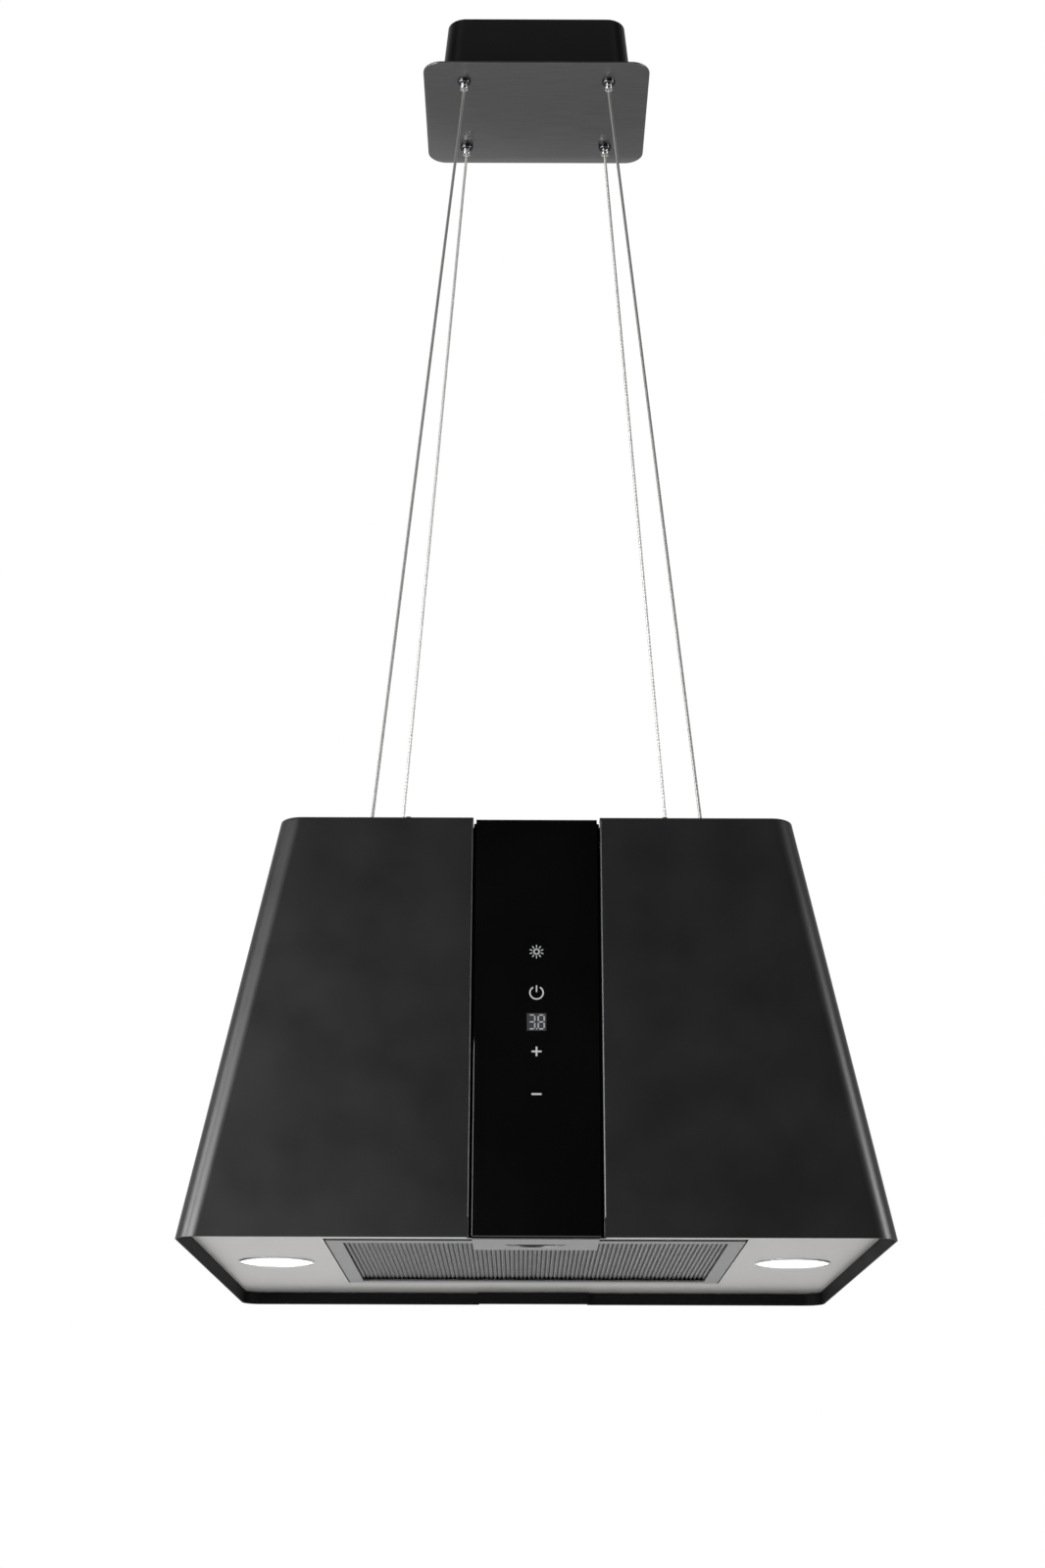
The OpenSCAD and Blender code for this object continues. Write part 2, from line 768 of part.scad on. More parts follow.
module strip_notches(z0, h, in) {
    for (sy = [-1, 1]) translate([-strip_gap / 2 - 2, sy * (half_d(z0) - in / 2 + 10) - in / 2 - 10, z0 - 1])
        cube([strip_gap + 4, in + 20, h + 2]);
}

module bottom_panel() {
    flange_h = 13;
    edge = shell_t + sheet_play;
    stud_h = 8;
    color([0.7, 0.7, 0.7]) on_hood() union() {
        difference() {
            body_block(panel_z, panel_top, edge);
            strip_notches(panel_z, panel_t, web_back + 1);
            translate([
                -filter_w / 2 - filter_gap_side, filter_y0 - filter_gap_front, panel_z - 1
            ]) cube([
                filter_w + 2 * filter_gap_side, filter_d + filter_gap_front + filter_gap_back, panel_t + 2
            ]);
            translate([-latch_w / 2 - 4, latch_front - 4, panel_z - 1]) cube([latch_w + 8, 20, panel_t + 2]);
            mirrored_x() translate([lamp_x, lamp_y, panel_z - 1]) cylinder(r = lamp_hole_r, h = panel_t + 2);
        }
        difference() {
            body_block(panel_top - eps, panel_top + flange_h, edge);
            body_block(panel_top - 1, panel_top + flange_h + 1, edge + panel_t);
            strip_notches(panel_top, flange_h, return_depth + 6);
        }
        translate([0, 0, panel_top - eps]) at_corners(2 * post_x, 2 * post_y)
            cylinder(r = deck_screw_r, h = stud_h);
    }
}

module lamp_ring() {
    union() {
        ring(panel_z - bezel_t, panel_z, bezel_r, lens_r + slide_fit / 2);
        ring(panel_z - eps, panel_z + sleeve_h, sleeve_r, lens_r + slide_fit / 2);
    }
}

module lamp_rings() {
    color("silver") on_hood() mirrored_x() translate([lamp_x, lamp_y, 0]) lamp_ring();
}

module lamp_lenses() {
    color("white") on_hood() mirrored_x() translate([lamp_x, lamp_y, panel_z - 0.8])
        cylinder(r = lens_r, h = 3);
}

// Aluminium head with cooling fins that closes each lamp from above.
module lamp_heads() {
    base = panel_z + sleeve_h;
    cap_h = 4;
    core_h = 14;
    fin_step = 2.6;
    color("darkgray") on_hood() mirrored_x() translate([lamp_x, lamp_y, 0]) union() {
        translate([0, 0, base]) cylinder(r = sleeve_r, h = cap_h);
        translate([0, 0, base + cap_h - eps]) cylinder(r = sleeve_r * 0.35, h = core_h);
        for (i = [1:5]) translate([0, 0, base + cap_h + i * fin_step]) cylinder(r = sleeve_r - 3, h = 1);
        translate([0, 0, base - cap_h]) cylinder(r = lens_r - 4, h = cap_h + eps);
    }
}

// Leaf springs that hold each lamp up in the panel.
module lamp_clips() {
    clip_w = 10;
    clip_reach = 12;
    clip_t = 0.6;
    color("silver") on_hood() mirrored_x() translate([lamp_x, lamp_y, 0]) for (turn = [0, 180])
        rotate([0, 0, turn]) translate([-clip_w / 2, sleeve_r, panel_top]) union() {
            cube([clip_w, clip_reach, clip_t]);
            cube([clip_w, clip_t, clip_w]);
        }
}

module led_driver() {
    case = [36, 90, 18];
    tab = [20, 102, 3];
    left = -half_w(panel_top) + 24;
    front = 92;
    color("whitesmoke") on_hood() union() {
        translate([left, front, panel_top]) cube(case);
        translate([left + (case[0] - tab[0]) / 2, front - (tab[1] - case[1]) / 2, panel_top]) cube(tab);
    }
}

// ---------- grease filter ----------

module filter_frame() {
    slot_h = latch_t + 2 * slide_fit;
    color([0.62, 0.62, 0.62]) on_hood() difference() {
        translate([-filter_w / 2, filter_y0, filter_z]) cube([filter_w, filter_d, filter_t]);
        translate([-filter_w / 2 + frame_t, filter_y0 + frame_t, filter_z + frame_t])
            cube([filter_w - 2 * frame_t, filter_d - 2 * frame_t, filter_t - 2 * frame_t]);
        translate([-filter_w / 2 + side_bar, filter_y0 + front_bar, filter_z - 1])
            cube([filter_w - 2 * side_bar, filter_d - front_bar - back_bar, frame_t + 2]);
        translate([-filter_w / 2 + 10, filter_y0 + front_bar, filter_top - frame_t - 1])
            cube([filter_w - 20, filter_d - front_bar - 10, frame_t + 2]);
        translate([-latch_w / 2 - slide_fit, filter_y0 - 1, latch_z - slide_fit])
            cube([latch_w + 2 * slide_fit, frame_t + 2, slot_h]);
        translate([0, hinge_y, hinge_z]) along_x(-filter_w, filter_w, hinge_r + 0.02);
    }
}

// Folded aluminium mesh, drawn as one pleated sheet.
module filter_mesh() {
    half = filter_w / 2 - frame_t - 0.2;
    z0 = filter_z + frame_t + 0.2;
    rise = 3;
    sheet = 1.6;
    count = floor(2 * half / mesh_pitch);
    step = 2 * half / count;
    lower = [for (i = [0:2 * count]) [-half + i * step / 2, i % 2 == 0 ? 0 : rise]];
    upper = [for (i = [2 * count:-1:0]) [-half + i * step / 2, sheet + (i % 2 == 0 ? 0 : rise)]];
    run = filter_d - 2 * frame_t - 0.4;
    color([0.45, 0.45, 0.45]) on_hood() difference() {
        translate([0, filter_y0 + frame_t + 0.2 + run, z0]) rotate([90, 0, 0])
            linear_extrude(height = run) polygon(concat(lower, upper));
        translate([-cup_w / 2 - 2, filter_y0, z0 - 1]) cube([cup_w + 4, handle_y1 - filter_y0 - 2, filter_t]);
        mirrored_x() translate([filter_w / 2 - 12, hinge_y - 5, z0 - 1]) cube([12, 12, filter_t]);
    }
}

// Pins on which the filter swings down.
module filter_pins() {
    color("silver") on_hood() translate([0, hinge_y, hinge_z]) mirrored_x()
        along_x(filter_w / 2 - 9, filter_w / 2 + 10, hinge_r);
}

module finger_slot(h) {
    intersection() {
        translate([0, slot_y + slot_depth - slot_r, 0]) cylinder(r = slot_r, h = h);
        translate([-slot_w, slot_y, 0]) cube([2 * slot_w, slot_depth + 5, h]);
    }
}

module filter_handle() {
    cup_t = 1;
    cup_h = filter_top - filter_z + 1;
    color([0.72, 0.72, 0.72]) on_hood() union() {
        difference() {
            translate([-handle_w / 2, handle_y0, filter_z - handle_t])
                cube([handle_w, handle_y1 - handle_y0, handle_t]);
            translate([0, 0, filter_z - handle_t - 1]) finger_slot(handle_t + 2);
        }
        difference() {
            translate([-cup_w / 2, cup_y0, filter_z - eps]) cube([cup_w, cup_y1 - cup_y0, cup_h]);
            translate([-cup_w / 2 + cup_t, cup_y0 - 1, filter_z - 1])
                cube([cup_w - 2 * cup_t, cup_y1 - cup_y0 + 1 - cup_t, cup_h + 1 - cup_t]);
        }
    }
}

// Sliding bolt: a finger in the slot draws it back out of its catch.
module filter_latch() {
    tab_h = latch_z - filter_z - slide_fit;
    color([0.3, 0.3, 0.3]) on_hood() union() {
        translate([-latch_w / 2, latch_front, latch_z]) cube([latch_w, latch_tab - latch_front + 2, latch_t]);
        translate([-latch_w / 2, latch_tab, latch_z - tab_h]) cube([latch_w, 2, tab_h + 1]);
    }
}

module latch_spring() {
    from = latch_tab + 2;
    to = cup_y1 - 1;
    color("silver") on_hood() for (x = [-10, 10])
        translate([x, from + 0.4, filter_z + 2.2]) rotate([-90, 0, 0])
            coil(1.4, 0.3, to - from - 0.8, 7);
}

// Spring clip on the panel that the bolt rests on.
module filter_catch() {
    w = latch_w + 4;
    lip_y = filter_y0 - filter_gap_front - 2;
    color("silver") on_hood() union() {
        translate([-w / 2, latch_front - 24, panel_top]) cube([w, 23, 0.5]);
        translate([-w / 2, latch_front - 1.5, panel_z + 0.3]) cube([w, 0.5, panel_t + 0.2]);
        translate([-w / 2, latch_front - 1.5, panel_z + 0.3]) cube([w, lip_y - latch_front + 1.5, 0.5]);
    }
}

module hinge_brackets() {
    inner = filter_w / 2 + filter_gap_side + 3;
    color("silver") on_hood() mirrored_x() difference() {
        union() {
            translate([inner, hinge_y - 8, panel_top]) cube([hinge_plate_t, 16, hinge_z - panel_top]);
            translate([inner, hinge_y, hinge_z]) rotate([0, 90, 0]) cylinder(r = 8, h = hinge_plate_t);
            translate([inner, hinge_y - 8, panel_top]) cube([16, 16, 1.5]);
        }
        translate([0, hinge_y, hinge_z]) along_x(inner - 1, inner + 17, hinge_r + run_fit);
        translate([-1, hinge_y - 9, 0]) cube([hood_w, 18, panel_top]);
    }
}

// ---------- blower ----------

module on_blower() on_hood() translate([0, blower_y, blower_z]) children();

// Scroll outline in the plane across the shaft, drawn in by inset.
function tongue_angle(inset) = acos(-(tongue_off + inset) / (scroll_r0 - inset));
function scroll_radius(a, inset) =
    scroll_r0 - inset + (scroll_r - scroll_r0) * (tongue_angle(inset) - a) / scroll_sweep;
module scroll_outline(inset, duct_up) {
    steps = 26;
    start = tongue_angle(inset);
    polygon(concat(
        [for (i = [0:steps]) let (a = start - (start + 180) * i / steps)
            scroll_radius(a, inset) * [cos(a), sin(a)]],
        [[-(scroll_r - inset), duct_up], [-(tongue_off + inset), duct_up]]
    ));
}

module scroll_block(x0, x1, inset, duct_up) {
    translate([x0, 0, 0]) rotate([90, 0, 90]) linear_extrude(height = x1 - x0)
        scroll_outline(inset, duct_up);
}

module at_mounts() {
    at_corners(blower_w - 40, scroll_r - tongue_off + 2 * 13) children();
}

module housing_half(side) {
    x0 = side < 0 ? -blower_w / 2 : 0;
    in0 = side < 0 ? -blower_w / 2 + scroll_wall : -1;
    color([0.16, 0.16, 0.17]) on_blower() difference() {
        union() {
            scroll_block(x0, x0 + blower_w / 2, 0, duct_top - blower_z);
            intersection() {
                translate([0, -blower_y, duct_top - blower_z - 3]) at_mounts()
                    translate([-11, -14, 0]) cube([22, 28, 3]);
                translate([x0, -2 * scroll_r, 0]) cube([blower_w / 2, 4 * scroll_r, 2 * scroll_r]);
            }
        }
        scroll_block(in0, in0 + blower_w / 2 - scroll_wall + 1, scroll_wall, duct_top - blower_z + 1);
        along_x(-blower_w, blower_w, inlet_r);
        translate([0, -blower_y, duct_top - blower_z - 4]) at_mounts() cylinder(r = 2.6, h = 6);
    }
}

module left_blower_housing() {
    housing_half(-1);
}

module right_blower_housing() {
    housing_half(1);
}

// Rubber bushes between the blower's ears and the deck.
module blower_mounts() {
    color([0.05, 0.05, 0.05]) on_hood() translate([0, 0, duct_top]) at_mounts() difference() {
        cylinder(r = 8, h = deck_under - duct_top);
        translate([0, 0, -1]) cylinder(r = 2.6, h = deck_under - duct_top + 2);
    }
}

// Collar of one inlet; under_t is what lies between it and the housing.
module inlet_ring(under_t) {
    x0 = blower_w / 2 + 2;
    union() {
        tube_x(blower_w / 2 + under_t, x0 + ring_t, inlet_r + 16, inlet_r);
        tube_x(x0 + ring_t - eps, x0 + 15, collar_out, inlet_r);
        for (turn = [0, 120, 240]) rotate([turn, 0, 0]) intersection() {
            tube_x(x0 + 11, x0 + 15, lug_r, inlet_r + 2);
            rotate([-6, 0, 0]) wedge_x(12, blower_w);
        }
    }
}

// Sector of the given angle about the X axis, starting at +Y.
module wedge_x(angle, reach) {
    rotate([90, 0, 90]) linear_extrude(height = reach)
        polygon([[0, 0], [reach, 0], [reach * cos(angle), reach * sin(angle)]]);
}

module inlet_rings() {
    color([0.2, 0.2, 0.21]) on_blower() {
        inlet_ring(0);
        mirror([1, 0, 0]) inlet_ring(2);
    }
}

module impeller() {
    blade_in = impeller_r - 13;
    half = blower_w / 2 - 13;
    color([0.3, 0.3, 0.32]) on_blower() union() {
        mirrored_x() tube_x(half - 3, half, impeller_r, blade_in);
        tube_x(-1.5, 1.5, impeller_r, shaft_d / 2 - eps);
        tube_x(-9, 9, 12, shaft_d / 2 - eps);
        for (i = [0:blade_count - 1]) rotate([360 * i / blade_count, 0, 0])
            translate([-half + 1, blade_in + 1, 0]) rotate([22, 0, 0]) cube([2 * half - 2, 11, 1.2]);
        along_x(-66, 14, shaft_d / 2);
    }
}

module motor() {
    x0 = -blower_w / 2;
    color([0.5, 0.5, 0.52]) on_blower() difference() {
        union() {
            along_x(x0, -18, motor_r);
            along_x(-18 - eps, -13, 10);
        }
        along_x(-blower_w, 0, shaft_d / 2 + run_fit);
        for (i = [0:11]) rotate([30 * i, 0, 0]) translate([x0 + 12, motor_r - 2, -3]) cube([32, 4, 6]);
    }
}

// Three-armed bracket that holds the motor in the left inlet.
module motor_bracket() {
    x0 = -blower_w / 2 - 2;
    color("silver") on_blower() difference() {
        union() {
            tube_x(x0, x0 + 2, inlet_r + 16, inlet_r);
            along_x(x0, x0 + 2, 26);
            for (turn = [60, 180, 300]) rotate([turn, 0, 0]) translate([x0, -6, 0]) cube([2, 12, inlet_r + 4]);
        }
        along_x(x0 - 1, x0 + 3, shaft_d / 2 + 1);
    }
}

// Round cassette of active carbon that turns onto the lugs of an inlet ring.
module carbon_cassette() {
    x0 = blower_w / 2 + 2 + ring_t + 2;
    x1 = x0 + carbon_w;
    lug_x = blower_w / 2 + 2 + 11;
    rib_count = 12;
    union() {
        tube_x(x0, x1, carbon_r, carbon_r - 3);
        difference() {
            tube_x(x0, lug_x - 1, carbon_r - 1, collar_out + slide_fit);
            for (turn = [20, 140, 260]) rotate([turn - 8, 0, 0]) intersection() {
                tube_x(x0 - 1, lug_x, lug_r + 1, collar_out - 1);
                wedge_x(16, blower_w);
            }
        }
        along_x(x1 - 16, x1 - 2, carbon_r - 2);
        tube_x(x1 - 2 - eps, x1, 40, 36);
        tube_x(x1 - 2 - eps, x1, 62, 59);
        along_x(x1 - 2 - eps, x1 + 3, 14);
        for (i = [0:rib_count - 1]) rotate([360 * i / rib_count, 0, 0])
            translate([x1 - 2 - eps, 0, -1.2]) cube([2, carbon_r - 1, 2.4]);
    }
}

module left_carbon_filter() {
    color([0.1, 0.1, 0.1]) on_blower() mirror([1, 0, 0]) carbon_cassette();
}

module right_carbon_filter() {
    color([0.1, 0.1, 0.1]) on_blower() carbon_cassette();
}

// ---------- electrics ----------

// Box under the deck for the motor supply, with the cable gland in its roof.
module power_box() {
    w = supply_w;
    d = supply_d;
    h = supply_h;
    color([0.85, 0.85, 0.85]) on_hood() difference() {
        union() {
            translate([-w / 2, box_y - d / 2, deck_under - h]) cube([w, d, h]);
            translate([gland_x, box_y, deck_under - eps]) cylinder(r = 8, h = deck_t + 1);
            translate([gland_x, box_y, deck_top]) cylinder(d = 24, h = 7, $fn = 6);
            translate([gland_x, box_y, deck_top + 7 - eps]) cylinder(r1 = 10, r2 = 7, h = 11);
        }
        translate([-w / 2 + 2, box_y - d / 2 + 2, deck_under - h - 1]) cube([w - 4, d - 4, h - 1]);
        translate([gland_x, box_y, deck_under - 4]) cylinder(r = 4, h = 40);
    }
}

module power_box_lid() {
    wall = 2;
    rim = wall + slide_fit;
    color([0.8, 0.8, 0.8]) on_hood() union() {
        translate([-supply_w / 2, box_y - supply_d / 2, deck_under - supply_h - wall])
            cube([supply_w, supply_d, wall]);
        translate([-supply_w / 2 + rim, box_y - supply_d / 2 + rim, deck_under - supply_h - eps])
            cube([supply_w - 2 * rim, supply_d - 2 * rim, 3]);
    }
}

ceiling_bracket();
canopy_box();
canopy_plate();
canopy_screws();
supply_grommet();
terminal_block();
wire_grippers();
gripper_nuts();
plunger(-1, -1);  // plunger_front_left
plunger(1, -1);  // plunger_front_right
plunger(-1, 1);  // plunger_rear_left
plunger(1, 1);  // plunger_rear_right
wire(-1, -1);  // wire_front_left
wire(1, -1);  // wire_front_right
wire(-1, 1);  // wire_rear_left
wire(1, 1);  // wire_rear_right
wire_anchors();
anchor_nuts();
wire_ends();
left_shell();
right_shell();
deck_plate();
deck_screws();
corner_posts();
post_nuts();
outlet_grille();
front_glass();
rear_glass();
glass_tapes();
front_channel();
rear_channel();
channel_screws();
control_board();
display_module();
touch_springs();
bottom_panel();
lamp_rings();
lamp_lenses();
lamp_heads();
lamp_clips();
led_driver();
filter_frame();
filter_mesh();
filter_pins();
filter_handle();
filter_latch();
latch_spring();
filter_catch();
hinge_brackets();
left_blower_housing();
right_blower_housing();
blower_mounts();
inlet_rings();
impeller();
motor();
motor_bracket();
left_carbon_filter();
right_carbon_filter();
power_box();
power_box_lid();
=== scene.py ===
import json
import math

import bmesh
import bpy
from bpy.props import FloatProperty, FloatVectorProperty, IntProperty, PointerProperty
from mathutils import Matrix, Vector


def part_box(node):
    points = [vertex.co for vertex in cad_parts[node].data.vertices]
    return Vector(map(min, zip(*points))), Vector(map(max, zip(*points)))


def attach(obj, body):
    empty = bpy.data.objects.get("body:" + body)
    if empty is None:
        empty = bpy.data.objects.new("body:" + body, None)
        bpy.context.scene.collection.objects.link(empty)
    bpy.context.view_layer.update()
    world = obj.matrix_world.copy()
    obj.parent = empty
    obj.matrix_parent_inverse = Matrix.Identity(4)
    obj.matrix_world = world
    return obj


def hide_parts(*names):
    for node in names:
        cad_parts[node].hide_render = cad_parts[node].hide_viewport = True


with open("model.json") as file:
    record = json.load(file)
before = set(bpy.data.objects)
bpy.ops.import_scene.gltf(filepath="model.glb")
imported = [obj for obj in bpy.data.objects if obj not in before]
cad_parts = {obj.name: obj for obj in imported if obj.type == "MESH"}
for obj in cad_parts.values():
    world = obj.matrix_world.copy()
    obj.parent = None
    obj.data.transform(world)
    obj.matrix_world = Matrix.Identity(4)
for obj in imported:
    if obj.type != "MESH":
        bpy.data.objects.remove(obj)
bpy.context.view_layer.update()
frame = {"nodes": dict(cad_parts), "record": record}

bl_info = {
    "name": "Island Range Hood",
    "version": (1, 0, 0),
    "blender": (4, 5, 0),
    "location": "3D View > Sidebar > Range Hood",
    "description": "Finishes a tapered island hood on four wires with folded steel, glass and filter pieces",
    "category": "Add Mesh",
}

MM = 0.001
UP = Vector((0, 0, 1))
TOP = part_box("left_shell")[1].z
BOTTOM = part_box("left_shell")[0].z
HEIGHT = TOP - BOTTOM
HALF_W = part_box("right_shell")[1].x
HALF_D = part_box("right_shell")[1].y
PLATE_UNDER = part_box("canopy_plate")[0].z
DECK_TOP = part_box("deck_plate")[1].z
COLLAR = 7 * MM
RECESS = 1 * MM
CAMERA = (-0.0126, -2.2601, -1.5763)
CORNERS = [("front_left", -1, -1), ("front_right", 1, -1), ("rear_left", -1, 1), ("rear_right", 1, 1)]


def linear(code):
    """sRGB hex colour as linear RGBA."""
    parts = [int(code[i:i + 2], 16) / 255 for i in (1, 3, 5)]
    return tuple(c / 12.92 if c <= 0.04045 else ((c + 0.055) / 1.055) ** 2.4 for c in parts) + (1.0,)


def colour(name, description, code):
    return FloatVectorProperty(
        name=name, description=description, default=linear(code)[:3], min=0, max=1, subtype="COLOR"
    )


def length(name, description, value, low=0.0, high=10.0):
    return FloatProperty(
        name=name, description=description, default=value, min=low, max=high,
        subtype="DISTANCE", unit="LENGTH"
    )


def watts(name, description, value):
    return FloatProperty(name=name, description=description, default=value, min=0)


# ---------- settings ----------

class HoodSizes(bpy.types.PropertyGroup):
    top_half: length("Top half width", "Half the body's width and depth at its top", 0.228)
    corner: length("Corner radius", "Outside radius of the body's corners", 0.020)
    sheet: length("Sheet", "Thickness of the folded steel", 0.0012)
    fold: length("Fold radius", "Outside radius of a fold in the sheet", 0.0018)
    gap_half: length("Half gap", "Half the gap between the two shells", 0.056)
    gap_fold: length("Gap fold", "Depth of the folded edge beside the gap", 0.024)
    rim_fold: length("Rim fold", "Depth of the folded rim on top", 0.014)
    rope_strands: IntProperty(
        name="Rope strands", description="Outer strands of a rope", default=6, min=4, max=12
    )
    rope_lay: length("Rope lay", "Height of one turn of a rope's strands", 0.022)
    pleat: length("Pleat", "Distance between the ribs of the grease mesh", 0.0042)


class HoodColours(bpy.types.PropertyGroup):
    coat: colour("Coat", "Satin black coat of the shells", "#0b0b0c")
    tinted: colour("Tinted steel", "Black tinted steel of the canopy plate", "#6a6a6b")
    steel: colour("Steel", "Brushed stainless steel of the bottom panel", "#cdccca")
    anodised: colour("Anodised", "Anodised aluminium of the filter", "#8e8e90")
    mesh: colour("Mesh", "Expanded aluminium of the filter", "#9a9a9a")
    zinc: colour("Zinc", "Zinc plated steel of the chassis", "#b9bcc0")
    glass: colour("Glass", "Black print behind the glass", "#040404")
    symbol: colour("Symbols", "Lit symbols on the glass", "#d8dadc")


class HoodStage(bpy.types.PropertyGroup):
    lens: FloatProperty(name="Lens", description="Focal length of the camera in millimetres", default=55.04)
    tilt: FloatProperty(
        name="Tilt", description="Upward tilt of the camera", default=math.radians(18.05), subtype="ANGLE"
    )
    roll: FloatProperty(
        name="Roll", description="Roll of the camera", default=math.radians(0.17), subtype="ANGLE"
    )
    floor: length("Floor", "Distance from the ceiling down to the floor", 3.0)
    key: watts("Key light", "Power of the softbox in front on the left, in watts", 175)
    edge: watts("Left light", "Power of the softbox at the left, in watts", 85)
    fill: watts("Right light", "Power of the softbox at the right, in watts", 105)
    top: watts("Top light", "Power of the top softbox in watts", 6)


# ---------- shared making ----------

def block(bm, half_w, half_d, low, high):
    """A box about the Z axis between two heights."""
    size = Vector((2 * half_w, 2 * half_d, high - low))
    made = bmesh.ops.create_cube(bm, size=1)["verts"]
    bmesh.ops.scale(bm, vec=size, verts=made)
    bmesh.ops.translate(bm, vec=UP * (low + high) / 2, verts=made)
    return made


def round_edges(bm, edges, radius, steps=3):
    bmesh.ops.bevel(
        bm, geom=list(edges), offset=radius, segments=steps, profile=0.5, affect="EDGES",
        material=-1, clamp_overlap=True
    )


def upright(bm):
    """The four standing edges of a box."""
    return [e for e in bm.edges if abs((e.verts[0].co - e.verts[1].co).normalized().z) > 0.9]


def tapered_block(bm, lower, upper, radius, low, high, steps=16):
    """A box with round corners, whose four corners lean in to the upper half sizes."""
    block(bm, lower[0], lower[1], low, high)
    round_edges(bm, upright(bm), radius, steps)
    for v in bm.verts:
        if v.co.z > (low + high) / 2:
            v.co.x -= math.copysign(lower[0] - upper[0], v.co.x)
            v.co.y -= math.copysign(lower[1] - upper[1], v.co.y)


def turn(bm, profile, centre=(0, 0, 0), steps=40):
    """Spins a closed profile of radius and height about a standing axis."""
    verts = [bm.verts.new(Vector((r, 0, z)) + Vector(centre)) for r, z in profile]
    edges = [bm.edges.new((a, b)) for a, b in zip(verts, verts[1:] + verts[:1])]
    bmesh.ops.spin(
        bm, geom=verts + edges, cent=centre, axis=UP, angle=2 * math.pi, steps=steps, use_merge=True
    )


def outward(bm):
    """Merges doubles and turns every face out."""
    bmesh.ops.remove_doubles(bm, verts=bm.verts, dist=1e-6)
    bmesh.ops.recalc_face_normals(bm, faces=bm.faces)


def points(made):
    """The vertices among new geometry."""
    return [g for g in made if isinstance(g, bmesh.types.BMVert)]


def cut(bm, point, normal, clear=False):
    """Cuts the mesh along a plane, and clears what lies beyond it if asked."""
    whole = list(bm.verts) + list(bm.edges) + list(bm.faces)
    bmesh.ops.bisect_plane(bm, geom=whole, plane_co=point, plane_no=normal, clear_outer=clear)


def drop_lids(bm):
    """Deletes the level faces."""
    bmesh.ops.delete(bm, geom=[f for f in bm.faces if abs(f.normal.z) > 0.9], context="FACES")


def piece(name, bm, slot, stands_for=(), body="hood", material=None, crease=35.0):
    """Makes an object of the mesh, smooth but for edges sharper than the crease angle.

    It takes the finish of its slot unless a material is given.
    """
    mesh = bpy.data.meshes.new(name)
    bm.to_mesh(mesh)
    bm.free()
    mesh.shade_smooth()
    mesh.set_sharp_from_angle(angle=math.radians(crease))
    obj = bpy.data.objects.new(name, mesh)
    bpy.context.scene.collection.objects.link(obj)
    mesh.materials.append(material or finish(slot))
    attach(obj, body)
    if stands_for:
        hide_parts(*stands_for)
    return obj


def soften(obj, width, steps=2, angle=40.0):
    """Rounds the piece's sharp edges, and keeps its flat faces flat."""
    bevel = obj.modifiers.new("rounding", "BEVEL")
    bevel.width = width
    bevel.segments = steps
    bevel.limit_method = "ANGLE"
    bevel.angle_limit = math.radians(angle)
    bevel.harden_normals = True
    weights = obj.modifiers.new("flat faces", "WEIGHTED_NORMAL")
    weights.keep_sharp = True
    return obj


def into_sheet(obj, inner=0):
    """Thickens a skin inward; inner is the step from its material to that of the inner faces."""
    wall = obj.modifiers.new("sheet", "SOLIDIFY")
    wall.material_offset = inner
    wall.thickness = settings().sheet
    wall.offset = -1
    wall.use_even_offset = True


def face_slope():
    """Length of the body's front face up its slope, and its lean from upright."""
    run = HALF_D - settings().top_half
    return math.hypot(HEIGHT, run), math.atan(run / HEIGHT)


def face_frame(rear=False):
    """Frame of the strip's face: x across, y into the body, z up the slope."""
    flat = Matrix.Translation((0, -HALF_D, BOTTOM)) @ Matrix.Rotation(-face_slope()[1], 4, "X")
    return Matrix.Rotation(math.pi, 4, "Z") @ flat if rear else flat


def settings():
    return bpy.context.scene.hood_sizes


def tint(name):
    return tuple(getattr(bpy.context.scene.hood_colours, name)) + (1.0,)


# ---------- materials ----------

def add_node(tree, kind, values=None, links=None):
    """Adds a node, sets its properties or inputs, and links its inputs."""
    node = tree.nodes.new(kind)
    for key, value in (values or {}).items():
        if isinstance(key, str) and hasattr(node, key):
            setattr(node, key, value)
        else:
            node.inputs[key].default_value = value
    for key, source in (links or {}).items():
        tree.links.new(source, node.inputs[key])
    return node


def start_material(name, values):
    """A Principled material and its Object coordinates."""
    material = bpy.data.materials.get(name) or bpy.data.materials.new(name)
    material.use_nodes = True
    tree = material.node_tree
    tree.nodes.clear()
    shader = add_node(tree, "ShaderNodeBsdfPrincipled", values)
    add_node(tree, "ShaderNodeOutputMaterial", None, {"Surface": shader.outputs[0]})
    coords = add_node(tree, "ShaderNodeTexCoord").outputs["Object"]
    return material, tree, shader, coords


def stretched(tree, coords, sizes):
    """Coordinates in which one unit is the given size in millimetres along each axis."""
    return add_node(
        tree, "ShaderNodeMapping", {"Scale": [1000 / s for s in sizes]}, {"Vector": coords}
    ).outputs[0]


def noise(tree, coords, sizes, detail=3.0):
    """Noise whose grains have the given size in millimetres along each axis."""
    return add_node(
        tree, "ShaderNodeTexNoise", {"Scale": 1.0, "Detail": detail},
        {"Vector": stretched(tree, coords, sizes)}
    ).outputs["Fac"]


def spread(tree, value, low, high, start=0.3, end=0.7):
    """Maps a noise value to a range."""
    return add_node(
        tree, "ShaderNodeMapRange",
        {"From Min": start, "From Max": end, "To Min": low, "To Max": high}, {"Value": value}
    ).outputs[0]


def shades(tree, shader, value, dark, light):
    """Runs the base colour between two shades."""
    ramp = add_node(tree, "ShaderNodeValToRGB", None, {"Fac": value})
    ramp.color_ramp.elements[0].position, ramp.color_ramp.elements[1].position = 0.3, 0.7
    ramp.color_ramp.elements[0].color, ramp.color_ramp.elements[1].color = dark, light
    tree.links.new(ramp.outputs["Color"], shader.inputs["Base Color"])


